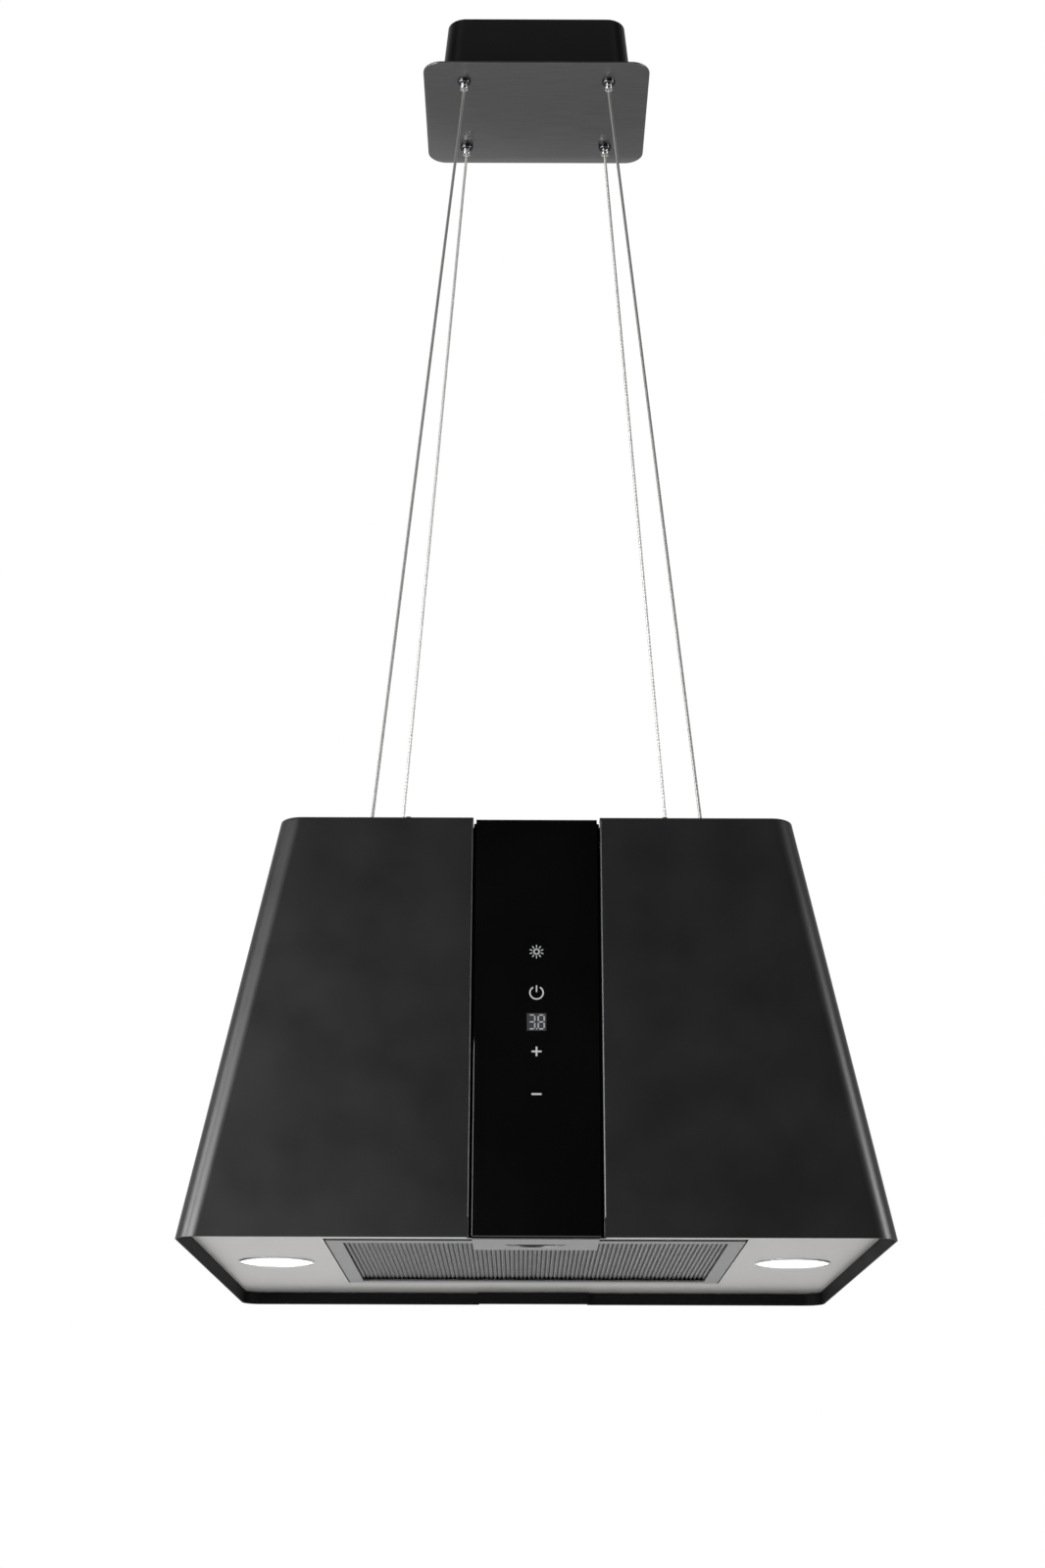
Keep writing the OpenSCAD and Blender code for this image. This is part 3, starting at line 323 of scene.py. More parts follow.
def bump(tree, shader, height, depth_mm, strength=1.0):
    node = add_node(
        tree, "ShaderNodeBump", {"Strength": strength, "Distance": depth_mm * MM}, {"Height": height}
    )
    tree.links.new(node.outputs[0], shader.inputs["Normal"])


def darker(shade, by):
    return tuple(c * by for c in shade[:3]) + (1.0,)


def powder_coat(name, base, roughness=0.37, gloss=0.5):
    # Epoxy powder coat, sprayed and baked on steel sheet: a satin skin with a fine orange peel.
    # The real peel is about 0.6 mm across; it is drawn at 1.4 mm so that it shows.
    material, tree, shader, coords = start_material(name, {"Specular IOR Level": gloss, "IOR": 1.5})
    cloud = noise(tree, coords, (60, 60, 60), 4)
    shades(tree, shader, cloud, darker(base, 0.88), darker(base, 1.12))
    tree.links.new(spread(tree, cloud, roughness - 0.025, roughness + 0.025), shader.inputs["Roughness"])
    bump(tree, shader, noise(tree, coords, (1.4, 1.4, 1.4), 2), 0.012, 0.5)
    return material


def brushed_steel(name, base, roughness, streak=(60, 0.35, 0.35), contrast=0.06):
    # Stainless sheet finished on an abrasive belt: long fine streaks along X that spread highlights.
    # The belt's grit leaves lines about 0.1 mm apart, drawn at 0.35 mm or more so that they show.
    material, tree, shader, coords = start_material(name, {"Metallic": 1.0})
    lines = noise(tree, coords, streak, 5)
    shades(tree, shader, lines, darker(base, 1 - contrast), darker(base, 1 + contrast))
    tree.links.new(spread(tree, lines, roughness - 0.04, roughness + 0.04), shader.inputs["Roughness"])
    bump(tree, shader, lines, 0.008, 0.35)
    return material


def anodised_aluminium(name, base, roughness=0.36):
    # Rolled aluminium sheet, etched and anodised: matt, with a faint rolling direction along Y.
    material, tree, shader, coords = start_material(name, {"Metallic": 1.0})
    grain = noise(tree, coords, (0.5, 30, 0.5), 4)
    shades(tree, shader, grain, darker(base, 0.94), darker(base, 1.05))
    tree.links.new(spread(tree, grain, roughness - 0.03, roughness + 0.05), shader.inputs["Roughness"])
    bump(tree, shader, noise(tree, coords, (0.6, 0.6, 0.6), 2), 0.006, 0.4)
    return material


def expanded_aluminium(name, base):
    # Aluminium foil slit and stretched into diamonds, then pleated: bright strands round openings that are
    # not cut but painted nearly black as painted shade.
    # The real diamonds are about 2 by 1.2 mm and are drawn that size.
    material, tree, shader, coords = start_material(name, {"Metallic": 1.0})
    weave = stretched(tree, coords, (2.1, 1.35, 2.1))
    cells = add_node(
        tree, "ShaderNodeTexVoronoi", {"feature": "DISTANCE_TO_EDGE", "Scale": 1.0, "Randomness": 0.15},
        {"Vector": weave}
    ).outputs["Distance"]
    strand = spread(tree, cells, 1.0, 0.0, 0.06, 0.3)
    # Between the strands the colour falls to near black: painted shade for the dark inside seen through the
    # openings.
    shades(tree, shader, strand, darker(base, 0.12), base)
    tree.links.new(spread(tree, strand, 0.55, 0.32, 0.0, 1.0), shader.inputs["Roughness"])
    bump(tree, shader, strand, 0.25, 0.8)
    return material


def zinc_plate(name, base):
    # Pressed steel with bright zinc plating: crystalline clouds of light and dark about 5 mm across.
    material, tree, shader, coords = start_material(name, {"Metallic": 1.0})
    flakes = add_node(
        tree, "ShaderNodeTexVoronoi", {"Scale": 1.0}, {"Vector": stretched(tree, coords, (5, 5, 5))}
    ).outputs["Distance"]
    shades(tree, shader, flakes, darker(base, 0.85), base)
    tree.links.new(spread(tree, flakes, 0.28, 0.42), shader.inputs["Roughness"])
    bump(tree, shader, noise(tree, coords, (0.8, 0.8, 0.8), 2), 0.006, 0.4)
    return material


def plated(name, base, roughness):
    # Polished metal under chrome or nickel: a mirror broken only by faint polishing haze.
    material, tree, shader, coords = start_material(name, {"Metallic": 1.0})
    haze = noise(tree, coords, (6, 6, 1.2), 3)
    shades(tree, shader, haze, darker(base, 0.94), base)
    tree.links.new(spread(tree, haze, roughness * 0.8, roughness * 1.3), shader.inputs["Roughness"])
    bump(tree, shader, haze, 0.004, 0.2)
    return material


def rope_steel(name, base):
    # Drawn stainless wires laid into strands: each wire is about 0.3 mm, and the colour runs darker in fine
    # streaks along the rope.
    material, tree, shader, coords = start_material(name, {"Metallic": 1.0})
    wires = noise(tree, coords, (0.35, 0.35, 2.4), 2)
    shades(tree, shader, wires, darker(base, 0.75), base)
    tree.links.new(spread(tree, wires, 0.6, 0.45), shader.inputs["Roughness"])
    bump(tree, shader, wires, 0.05, 0.6)
    return material


def moulded_plastic(name, base, roughness=0.5, grain=0.6):
    # Injection moulded plastic from a spark-eroded tool: an even fine grain with no direction.
    material, tree, shader, coords = start_material(name, {"IOR": 1.46})
    texture = noise(tree, coords, (grain, grain, grain), 3)
    shades(tree, shader, noise(tree, coords, (25, 25, 25), 3), darker(base, 0.92), darker(base, 1.06))
    tree.links.new(spread(tree, texture, roughness - 0.05, roughness + 0.07), shader.inputs["Roughness"])
    bump(tree, shader, texture, 0.02, 0.5)
    return material


def printed_glass(name, base):
    # Toughened float glass, enamelled black on its back: deep black with a sharp clear reflection
    # and the very slow waves that toughening leaves.
    material, tree, shader, coords = start_material(
        name, {"IOR": 1.52, "Specular IOR Level": 0.35, "Coat Weight": 0.0}
    )
    waves = noise(tree, coords, (90, 90, 120), 2)
    shades(tree, shader, waves, darker(base, 0.8), darker(base, 1.2))
    smear = noise(tree, coords, (35, 35, 35), 4)
    tree.links.new(spread(tree, smear, 0.03, 0.09), shader.inputs["Roughness"])
    bump(tree, shader, waves, 0.05, 0.12)
    return material


def lit_symbol(name, base, strength):
    # Diodes behind a clear window in the enamel: an even pale glow with slight mottling.
    material, tree, shader, coords = start_material(
        name, {"Roughness": 0.3, "Emission Strength": strength, "Base Color": darker(base, 0.05)}
    )
    glow = noise(tree, coords, (2.0, 2.0, 2.0), 2)
    ramp = add_node(tree, "ShaderNodeValToRGB", None, {"Fac": glow})
    ramp.color_ramp.elements[0].color, ramp.color_ramp.elements[1].color = darker(base, 0.85), base
    tree.links.new(ramp.outputs["Color"], shader.inputs["Emission Color"])
    return material


def opal_lens(name, lamp_x, lamp_y, radius):
    # Opal acrylic, moulded and lit from behind: brightest in a wide ring, a little greyer at the centre.
    material, tree, shader, coords = start_material(
        name, {"IOR": 1.49, "Roughness": 0.35, "Emission Strength": 1.35, "Base Color": linear("#f4f4f2")}
    )
    axes = add_node(tree, "ShaderNodeSeparateXYZ", None, {"Vector": coords}).outputs
    side = add_node(tree, "ShaderNodeMath", {"operation": "ABSOLUTE"}, {0: axes["X"]}).outputs[0]
    flat = add_node(tree, "ShaderNodeCombineXYZ", None, {"X": side, "Y": axes["Y"]}).outputs[0]
    reach = add_node(
        tree, "ShaderNodeVectorMath", {"operation": "DISTANCE", 1: (lamp_x, lamp_y, 0)}, {0: flat}
    ).outputs["Value"]
    share = add_node(tree, "ShaderNodeMath", {"operation": "DIVIDE", 1: radius}, {0: reach}).outputs[0]
    ramp = add_node(tree, "ShaderNodeValToRGB", None, {"Fac": share})
    stops = ramp.color_ramp.elements
    stops[0].position, stops[0].color = 0.0, linear("#cfcfcd")
    stops[1].position, stops[1].color = 0.45, linear("#ffffff")
    last = stops.new(0.97)
    last.color = linear("#dededc")
    tree.links.new(ramp.outputs["Color"], shader.inputs["Emission Color"])
    bump(tree, shader, noise(tree, coords, (0.8, 0.8, 0.8), 2), 0.02, 0.4)
    return material


def circuit_board(name):
    # Glass-fibre board under green solder mask: satin, with the weave just showing at 1 mm.
    material, tree, shader, coords = start_material(name, {"IOR": 1.5})
    weave = add_node(
        tree, "ShaderNodeTexChecker", {"Scale": 1.0}, {"Vector": stretched(tree, coords, (1, 1, 1))}
    ).outputs["Fac"]
    shades(tree, shader, weave, linear("#0d4a26"), linear("#10552c"))
    tree.links.new(spread(tree, weave, 0.3, 0.36, 0.0, 1.0), shader.inputs["Roughness"])
    bump(tree, shader, weave, 0.02, 0.4)
    return material


def make_materials():
    """One material for each finish, kept by name."""
    coat = tint("coat")
    return {
        "black_paint": powder_coat("powder_coated_steel_satin_black", coat),
        # A darker copy of the shells' coat: painted shade on the canopy box, which the softboxes otherwise
        # light too brightly.
        "canopy_shaded_paint": powder_coat("powder_coated_steel_deep_black", darker(coat, 0.5), 0.3, 0.3),
        # A darker, matt copy of the coat for the inner faces: the matt primer is the finish, and the darker
        # colour is painted shade inside the sheet.
        "inside_shaded_paint": powder_coat("primed_steel_matt_inside", darker(coat, 0.6), 0.6, 0.06),
        "brushed_black": brushed_steel("tinted_steel_brushed", tint("tinted"), 0.34, (45, 0.5, 0.5), 0.16),
        "black_screw": plated("black_zinc_screws", linear("#2a2a2b"), 0.38),
        "black_rubber": moulded_plastic("black_rubber_moulded", linear("#171717"), 0.75, 0.4),
        "white_plastic": moulded_plastic("white_plastic_moulded", linear("#d9d9d5"), 0.45),
        "dark_chrome": plated("dark_chrome_polished", linear("#55565a"), 0.12),
        "nickel": plated("bright_nickel_polished", linear("#c9c8c4"), 0.14),
        "wire_rope": rope_steel("stainless_rope_drawn", linear("#a2a2a0")),
        "black_plastic": moulded_plastic("black_plastic_moulded", linear("#1b1b1c"), 0.48),
        "black_glass": printed_glass("toughened_glass_black_enamel", tint("glass")),
        "green_board": circuit_board("circuit_board_solder_mask"),
        "brass_spring": plated("gold_plated_spring_wire", linear("#cfa55a"), 0.25),
        "brushed_steel": brushed_steel("stainless_steel_belt_brushed", tint("steel"), 0.36),
        "chrome": plated("lamp_bezel_polished_chrome", linear("#d2d3d4"), 0.08),
        "frosted_lens": opal_lens("opal_acrylic_lit", *lamp_place()),
        "cast_aluminium": anodised_aluminium("cast_aluminium_sandblasted", linear("#a9abad"), 0.5),
        "spring_steel": plated("spring_steel_bright", linear("#b7b8ba"), 0.3),
        "filter_aluminium": anodised_aluminium("anodised_aluminium_satin", tint("anodised")),
        "mesh_aluminium": expanded_aluminium("expanded_aluminium_pleated", tint("mesh")),
        "blower_plastic": moulded_plastic("dark_grey_polypropylene_moulded", linear("#3a3a3d"), 0.5),
        "motor_steel": powder_coat("motor_lacquer_grey", linear("#8b8c8f"), 0.4),
        "carbon_plastic": moulded_plastic("carbon_cassette_moulded", linear("#242425"), 0.62, 2.2),
        "zinc_steel": zinc_plate("zinc_plated_steel_pressed", tint("zinc")),
    }


def lamp_place():
    low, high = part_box("lamp_lenses")
    radius = (high.y - low.y) / 2
    return high.x - radius, (low.y + high.y) / 2, radius


FINISHES = {}


def finish(slot):
    if not FINISHES:
        FINISHES.update(make_materials())
    return FINISHES[slot]


def smoothing_group():
    """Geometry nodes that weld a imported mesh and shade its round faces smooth."""
    group = bpy.data.node_groups.get("weld_and_smooth")
    if group:
        return group
    group = bpy.data.node_groups.new("weld_and_smooth", "GeometryNodeTree")
    group.interface.new_socket("Geometry", in_out="INPUT", socket_type="NodeSocketGeometry")
    group.interface.new_socket("Geometry", in_out="OUTPUT", socket_type="NodeSocketGeometry")
    start = add_node(group, "NodeGroupInput")
    weld = add_node(group, "GeometryNodeMergeByDistance", {"Distance": 1e-6}, {"Geometry": start.outputs[0]})
    angle = add_node(group, "GeometryNodeInputMeshEdgeAngle")
    gentle = add_node(
        group, "FunctionNodeCompare",
        {"data_type": "FLOAT", "operation": "LESS_THAN", "B": math.radians(32)}, {"A": angle.outputs[0]}
    )
    faces = add_node(
        group, "GeometryNodeSetShadeSmooth", {"domain": "FACE", "Shade Smooth": True},
        {"Geometry": weld.outputs[0]}
    )
    edges = add_node(
        group, "GeometryNodeSetShadeSmooth", {"domain": "EDGE"},
        {"Geometry": faces.outputs[0], "Shade Smooth": gentle.outputs[0]}
    )
    add_node(group, "NodeGroupOutput", None, {"Geometry": edges.outputs[0]})
    return group


def finish_nodes(names, look=None):
    """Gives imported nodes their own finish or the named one, with round faces shaded smooth."""
    slots = {part["node"]: part["material_slot"] for part in frame["record"]["subparts"]}
    for name in names:
        node = frame["nodes"][name]
        if not node.material_slots:
            node.data.materials.append(None)
        for entry in node.material_slots:
            entry.material = finish(look or slots[name])
        smooth = node.modifiers.new("weld and smooth", "NODES")
        smooth.node_group = smoothing_group()
        weights = node.modifiers.new("flat faces", "WEIGHTED_NORMAL")
        weights.keep_sharp = True


# ---------- canopy ----------

class HOOD_OT_canopy(bpy.types.Operator):
    """Canopy box and plate with rounded edges"""

    bl_idname = "hood.canopy"
    bl_label = "Canopy"

    def execute(self, context):
        low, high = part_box("canopy_box")
        taper = 6 * MM
        bm = bmesh.new()
        tapered_block(
            bm, (high.x, high.y), (high.x - taper, high.y - taper), settings().corner, low.z, high.z
        )
        drop_lids(bm)
        outward(bm)
        # The canopy box takes the darker copy of the coat as painted shade.
        box = piece("canopy_cover", bm, "black_paint", ["canopy_box"], material=finish("canopy_shaded_paint"))
        into_sheet(box)
        soften(box, 0.3 * MM)

        low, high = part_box("canopy_plate")
        bm = bmesh.new()
        block(bm, high.x, high.y, low.z, high.z)
        round_edges(bm, upright(bm), settings().corner, 20)
        round_edges(bm, [e for e in bm.edges if e.calc_face_angle(0) > 1.2], 0.5 * MM, 3)
        outward(bm)
        piece("canopy_cover_plate", bm, "brushed_black", ["canopy_plate"])
        finish_nodes(["ceiling_bracket", "canopy_screws", "supply_grommet", "terminal_block"])
        return {"FINISHED"}


# ---------- suspension ----------

class HOOD_OT_grippers(bpy.types.Operator):
    """Wire grippers, their release tips and the anchors on the body"""

    bl_idname = "hood.grippers"
    bl_label = "Grippers and anchors"

    def execute(self, context):
        low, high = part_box("wire_grippers")
        barrel, bore = 5.5 * MM, 4.25 * MM
        at_x, at_y = high.x - COLLAR, high.y - COLLAR
        bm = bmesh.new()
        for _, sx, sy in CORNERS:
            turn(bm, [
                (bore, low.z), (6.1 * MM, low.z), (6.7 * MM, low.z + 0.3 * MM), (COLLAR, low.z + 1 * MM),
                (COLLAR, PLATE_UNDER), (barrel, PLATE_UNDER), (barrel, high.z - 0.5 * MM),
                (barrel - 0.5 * MM, high.z), (1.8 * MM, high.z), (1.8 * MM, high.z - 12.5 * MM),
                (bore, high.z - 13 * MM),
            ], (sx * at_x, sy * at_y, 0))
        outward(bm)
        collars = piece("gripper_collars", bm, "dark_chrome", ["wire_grippers"])
        soften(collars, 0.25 * MM)
        for name, sx, sy in CORNERS:
            foot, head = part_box("plunger_" + name)
            bm = bmesh.new()
            turn(bm, [
                (1.8 * MM, foot.z + 0.6 * MM), (2.3 * MM, foot.z), (3.5 * MM, foot.z),
                (4.0 * MM, foot.z + 0.3 * MM), (4.2 * MM, foot.z + 1 * MM), (4.2 * MM, foot.z + 2.4 * MM),
                (4.0 * MM, foot.z + 2.6 * MM), (4.0 * MM, foot.z + 3.2 * MM), (4.2 * MM, foot.z + 3.4 * MM),
                (4.2 * MM, head.z), (1.8 * MM, head.z),
            ], (sx * at_x, sy * at_y, 0), 32)
            outward(bm)
            piece("release_tip_" + name, bm, "nickel", ["plunger_" + name], "tip_" + name)
        low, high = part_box("wire_anchors")
        anchor = 9 * MM
        bm = bmesh.new()
        for _, sx, sy in CORNERS:
            turn(bm, [
                (5.3 * MM, low.z), (7 * MM, low.z), (7 * MM, DECK_TOP), (anchor, DECK_TOP),
                (anchor, DECK_TOP + 1 * MM), (7.4 * MM, high.z - 1 * MM), (6.6 * MM, high.z),
                (4.9 * MM, high.z), (3.2 * MM, DECK_TOP - 1 * MM), (5.3 * MM, DECK_TOP - 1.2 * MM),
            ], (sx * (high.x - anchor), sy * (high.y - anchor), 0))
        outward(bm)
        anchors = piece("anchor_bushes", bm, "dark_chrome", ["wire_anchors"])
        soften(anchors, 0.3 * MM)
        finish_nodes(["gripper_nuts", "anchor_nuts", "wire_ends"])
        return {"FINISHED"}


def lay_rope(bm, reach, radius):
    """A straight laid rope along Z: one lobed outline, spun as it climbs."""
    strands = settings().rope_strands
    groove, climb = 0.09, 1.8 * MM
    ring = bmesh.ops.create_circle(bm, segments=strands * 5, radius=radius)["verts"]
    for v in ring:
        crown = abs(math.sin(math.atan2(v.co.y, v.co.x) * strands / 2))
        v.co *= 1 - groove * (1 - crown) ** 1.5
    steps = round(reach / climb)
    bmesh.ops.spin(
        bm, geom=ring + list(bm.edges), cent=(0, 0, 0), axis=UP, dvec=UP * reach / steps,
        angle=2 * math.pi * reach / settings().rope_lay, steps=steps
    )
    bmesh.ops.holes_fill(bm, edges=[e for e in bm.edges if e.is_boundary], sides=0)


class HOOD_OT_wires(bpy.types.Operator):
    """Four laid wire ropes, straight from the body and bent upright into their grippers"""

    bl_idname = "hood.wires"
    bl_label = "Wire ropes"

    def execute(self, context):
        radius, bend = 1.5 * MM, 30 * MM
        grip_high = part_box("wire_grippers")[1]
        ball_low, ball_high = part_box("wire_ends")
        ball = (ball_high.z - ball_low.z) / 2
        bend_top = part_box("plunger_front_left")[0].z - 3 * MM
        grip = Vector((grip_high.x - COLLAR, grip_high.y - COLLAR, bend_top))
        foot = Vector((ball_high.x - ball, ball_high.y - ball, (ball_low.z + ball_high.z) / 2))
        run, fall = (foot - grip).xy.length, grip.z - foot.z
        lean = math.atan2(run, fall)
        tangent = bend * math.tan(lean / 2)
        straight = math.hypot(run, fall) - tangent + ball
        curved = bend * lean
        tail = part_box("wire_front_left")[1].z - grip.z - tangent
        rope = bmesh.new()
        lay_rope(rope, straight + curved + tail, radius)
        for v in rope.verts:
            along = v.co.z
            if along < straight:
                a = lean
                left = along - straight
                out = bend * (1 - math.cos(a)) - left * math.sin(a)
                up = tangent - bend * math.sin(a) + left * math.cos(a)
            elif along < straight + curved:
                a = lean - (along - straight) / bend
                out, up = bend * (1 - math.cos(a)), tangent - bend * math.sin(a)
            else:
                a = 0.0
                out, up = 0.0, tangent + along - straight - curved
            v.co = Vector((out + v.co.x * math.cos(a), v.co.y, up + v.co.x * math.sin(a)))
        for name, sx, sy in CORNERS:
            bm = rope.copy()
            heading = math.atan2(sy * (foot.y - grip.y), sx * (foot.x - grip.x))
            place = Matrix.Translation((sx * grip.x, sy * grip.y, grip.z)) @ Matrix.Rotation(heading, 4, "Z")
            bmesh.ops.transform(bm, matrix=place, verts=bm.verts)
            outward(bm)
            piece("wire_rope_" + name, bm, "wire_rope", ["wire_" + name], crease=60)
        rope.free()
        return {"FINISHED"}


# ---------- body ----------

def inward_of_outline(co, by):
    """The point moved towards the line that the body's corners turn about."""
    radius = settings().corner
    half = settings().top_half - radius
    centre = Vector((max(-half, min(half, co.x)), max(-half, min(half, co.y)), co.z))
    return co + (centre - co).normalized() * by


def fold_shell(bm, side):
    """Half of the body's skin as one folded sheet: corners, rim on top and an edge along each gap."""
    s = settings()
    gap = s.gap_half
    # The inner side of the leaning sheet reaches a little lower than its skin.
    skin_low = BOTTOM + 0.25 * MM
    tapered_block(bm, (HALF_W, HALF_D), (s.top_half, s.top_half), s.corner, skin_low, TOP, 24)
    drop_lids(bm)
    cut(bm, (side * gap, 0, 0), (-side, 0, 0), clear=True)
    slope, lean = face_slope()
    fold_foot, fold_head = 17.5 * MM, slope - 4 * MM
    levels = [BOTTOM + up * math.cos(lean) for up in (fold_foot, fold_head)]
    for level in levels:
        cut(bm, (0, 0, level), UP)

    def between(edge, low, high):
        return all(low - 1e-5 < v.co.z < high + 1e-5 for v in edge.verts)

    rim = [e for e in bm.edges if e.is_boundary and between(e, TOP, TOP)]
    made = bmesh.ops.extrude_edge_only(bm, edges=rim)["geom"]
    for v in points(made):
        v.co = inward_of_outline(v.co, s.rim_fold)
    for front in (-1, 1):
        sides = [
            e for e in bm.edges if e.is_boundary and between(e, *levels)
            and all(abs(abs(v.co.x) - gap) < 1e-5 and v.co.y * front > 0 for v in e.verts)
        ]
        made = bmesh.ops.extrude_edge_only(bm, edges=sides)["geom"]
        into = Vector((0, -front * math.cos(lean), -math.sin(lean))) * s.gap_fold
        bmesh.ops.translate(bm, vec=into, verts=points(made))
    outward(bm)
    skin = max(bm.faces, key=lambda f: f.calc_area())
    if skin.normal.dot(skin.calc_center_median() * Vector((1, 1, 0))) < 0:
        bmesh.ops.reverse_faces(bm, faces=bm.faces)
    bm.normal_update()
    folds = [e for e in bm.edges if len(e.link_faces) == 2 and e.calc_face_angle(0) > 1.0]
    round_edges(bm, folds, s.fold, 4)


class HOOD_OT_shells(bpy.types.Operator):
    """The two folded steel shells of the body"""

    bl_idname = "hood.shells"
    bl_label = "Shells"

    def execute(self, context):
        for name, side in (("left", -1), ("right", 1)):
            bm = bmesh.new()
            fold_shell(bm, side)
            shell = piece(name + "_folded_shell", bm, "black_paint", [name + "_shell"], crease=30)
            # The inner faces take the darker inside coat, painted shade for the hollow of the body.
            shell.data.materials.append(finish("inside_shaded_paint"))
            into_sheet(shell, inner=1)
            soften(shell, 0.25 * MM, 2, 50)
        return {"FINISHED"}


def pan_head(bm, place, radius, shank):
    """A domed screw head with a hex socket, on a plain shank; the head sits on the XY plane of place."""
    head = bmesh.new()
    turn(head, [
        (0.9 * radius, 0.4 * radius), (0.9 * radius, 1.1 * radius), (1.3 * radius, 1.05 * radius),
        (1.7 * radius, 0.8 * radius), (1.9 * radius, 0.35 * radius), (1.85 * radius, 0.0),
        (radius, 0.0), (radius, -shank), (0.02 * radius, -shank), (0.02 * radius, 0.4 * radius),
    ], (0, 0, 0), 24)
    for v in head.verts:
        flat = v.co.xy.length
        if abs(flat - 0.9 * radius) < 1e-6:
            turned = math.atan2(v.co.y, v.co.x) % (math.pi / 3) - math.pi / 6
            reach = 0.86 * radius / math.cos(turned)
            v.co.x, v.co.y = v.co.x * reach / flat, v.co.y * reach / flat
        elif flat < 0.1 * radius:
            v.co.x = v.co.y = 0.0
    outward(head)
    bmesh.ops.transform(head, matrix=place, verts=head.verts)
    scratch = bpy.data.meshes.new("screw")
    head.to_mesh(scratch)
    head.free()
    bm.from_mesh(scratch)
    bpy.data.meshes.remove(scratch)


class HOOD_OT_deck(bpy.types.Operator):
    """Deck on top of the body with its screws and outlet grille"""

    bl_idname = "hood.deck"
    bl_label = "Deck"

    def execute(self, context):
        half = settings().top_half
        quarter, rim, post = half / 2, half - 8.2 * MM, half - 24 * MM
        blower_x, blower_y = 55 * MM, 63 * MM
        small, large = (1.95 * MM, 8 * MM), (2.5 * MM, 20 * MM)
        bm = bmesh.new()
        for _, sx, sy in CORNERS:
            for x, y, z, screw in (
                (quarter, rim, TOP, small), (rim, quarter, TOP, small), (post, post, DECK_TOP, small),
                (blower_x, blower_y, DECK_TOP, large),
            ):
                pan_head(bm, Matrix.Translation((sx * x, sy * y, z)), *screw)
        piece("deck_screw_heads", bm, "black_screw", ["deck_screws"])
        finish_nodes([
            "deck_plate", "outlet_grille", "corner_posts", "post_nuts", "power_box", "power_box_lid"
        ])
        return {"FINISHED"}


# ---------- glass strips ----------

def strip_glass(bm, rear):
    """A pane in the gap between the shells, with ground edges."""
    half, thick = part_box("front_glass")[1].x, 4 * MM
    foot, head = 1.5 * MM, face_slope()[0] - 2 * MM
    block(bm, half, thick / 2, foot, head)
    bmesh.ops.translate(bm, vec=(0, RECESS + thick / 2, 0), verts=bm.verts)
    round_edges(bm, bm.edges, 0.5 * MM, 2)
    bmesh.ops.transform(bm, matrix=face_frame(rear), verts=bm.verts)
    outward(bm)


def bar(bm, centre, half_x, half_z, turned=0.0):
    """A flat bar in the strip's XZ plane."""
    made = bmesh.ops.create_grid(bm, x_segments=1, y_segments=1, size=1)["verts"]
    bmesh.ops.scale(bm, vec=(half_x, half_z, 1), verts=made)
    place = (
        Matrix.Translation((centre[0], 0, centre[1])) @ Matrix.Rotation(turned, 4, "Y")
        @ Matrix.Rotation(math.pi / 2, 4, "X")
    )
    bmesh.ops.transform(bm, matrix=place, verts=made)


def arc(bm, up, inner, outer, gap=0.0, steps=40):
    """A flat ring in the strip's XZ plane, open by the gap angle at its top."""
    a = bm.verts.new((inner * math.sin(gap / 2), 0, up + inner * math.cos(gap / 2)))
    b = bm.verts.new((outer * math.sin(gap / 2), 0, up + outer * math.cos(gap / 2)))
    edge = bm.edges.new((a, b))
    bmesh.ops.spin(
        bm, geom=[a, b, edge], cent=(0, 0, up), axis=(0, 1, 0), angle=2 * math.pi - gap, steps=steps,
        use_merge=gap == 0.0
    )


def cross(bm, up, reach, half):
    """A plus sign from a grid of nine cells without its corners."""
    made = bmesh.ops.create_grid(bm, x_segments=3, y_segments=3, size=reach)["verts"]
    cells = {f for v in made for f in v.link_faces}
    for v in made:
        v.co.x = math.copysign(reach if abs(v.co.x) > reach / 2 else half, v.co.x)
        v.co.y = math.copysign(reach if abs(v.co.y) > reach / 2 else half, v.co.y)
    bm.normal_update()
    corners = [f for f in cells if min(abs(f.calc_center_median().x), abs(f.calc_center_median().y)) > half]
    bmesh.ops.delete(bm, geom=corners, context="FACES")
    made = [v for v in made if v.is_valid]
    place = Matrix.Translation((0, 0, up)) @ Matrix.Rotation(math.pi / 2, 4, "X")
    bmesh.ops.transform(bm, matrix=place, verts=made)


def segment(bm, x, up, reach, half, standing):
    """One pointed segment of a digit."""
    made = bmesh.ops.create_circle(bm, segments=6, radius=1, cap_ends=True)["verts"]
    place = Matrix.Translation((x, 0, up)) @ Matrix.Rotation(math.pi / 2 if standing else 0.0, 4, "Y")
    place = place @ Matrix.Rotation(math.pi / 2, 4, "X")
    for v in made:
        if abs(v.co.x) > 0.9:
            v.co.x, v.co.y = math.copysign(reach, v.co.x), 0.0
        elif abs(v.co.y) > 0.9:
            v.co.x, v.co.y = 0.0, math.copysign(half, v.co.y)
        else:
            v.co.x, v.co.y = math.copysign(reach - half, v.co.x), math.copysign(half, v.co.y)
    bmesh.ops.transform(bm, matrix=place, verts=made)


def digit(bm, x, up, lit):
    """A digit of seven segments; lit names them a to g."""
    w, h, half, short = 2.5 * MM, 3.1 * MM, 0.55 * MM, 2.3 * MM
    places = {
        "a": (x, up + 2 * h, short, False), "g": (x, up, short, False), "d": (x, up - 2 * h, short, False),
        "f": (x - w, up + h, h - 0.3 * MM, True), "b": (x + w, up + h, h - 0.3 * MM, True),
        "e": (x - w, up - h, h - 0.3 * MM, True), "c": (x + w, up - h, h - 0.3 * MM, True),
    }
    for name in lit:
        at_x, at_up, reach, standing = places[name]
        segment(bm, at_x, at_up, reach, half, standing)


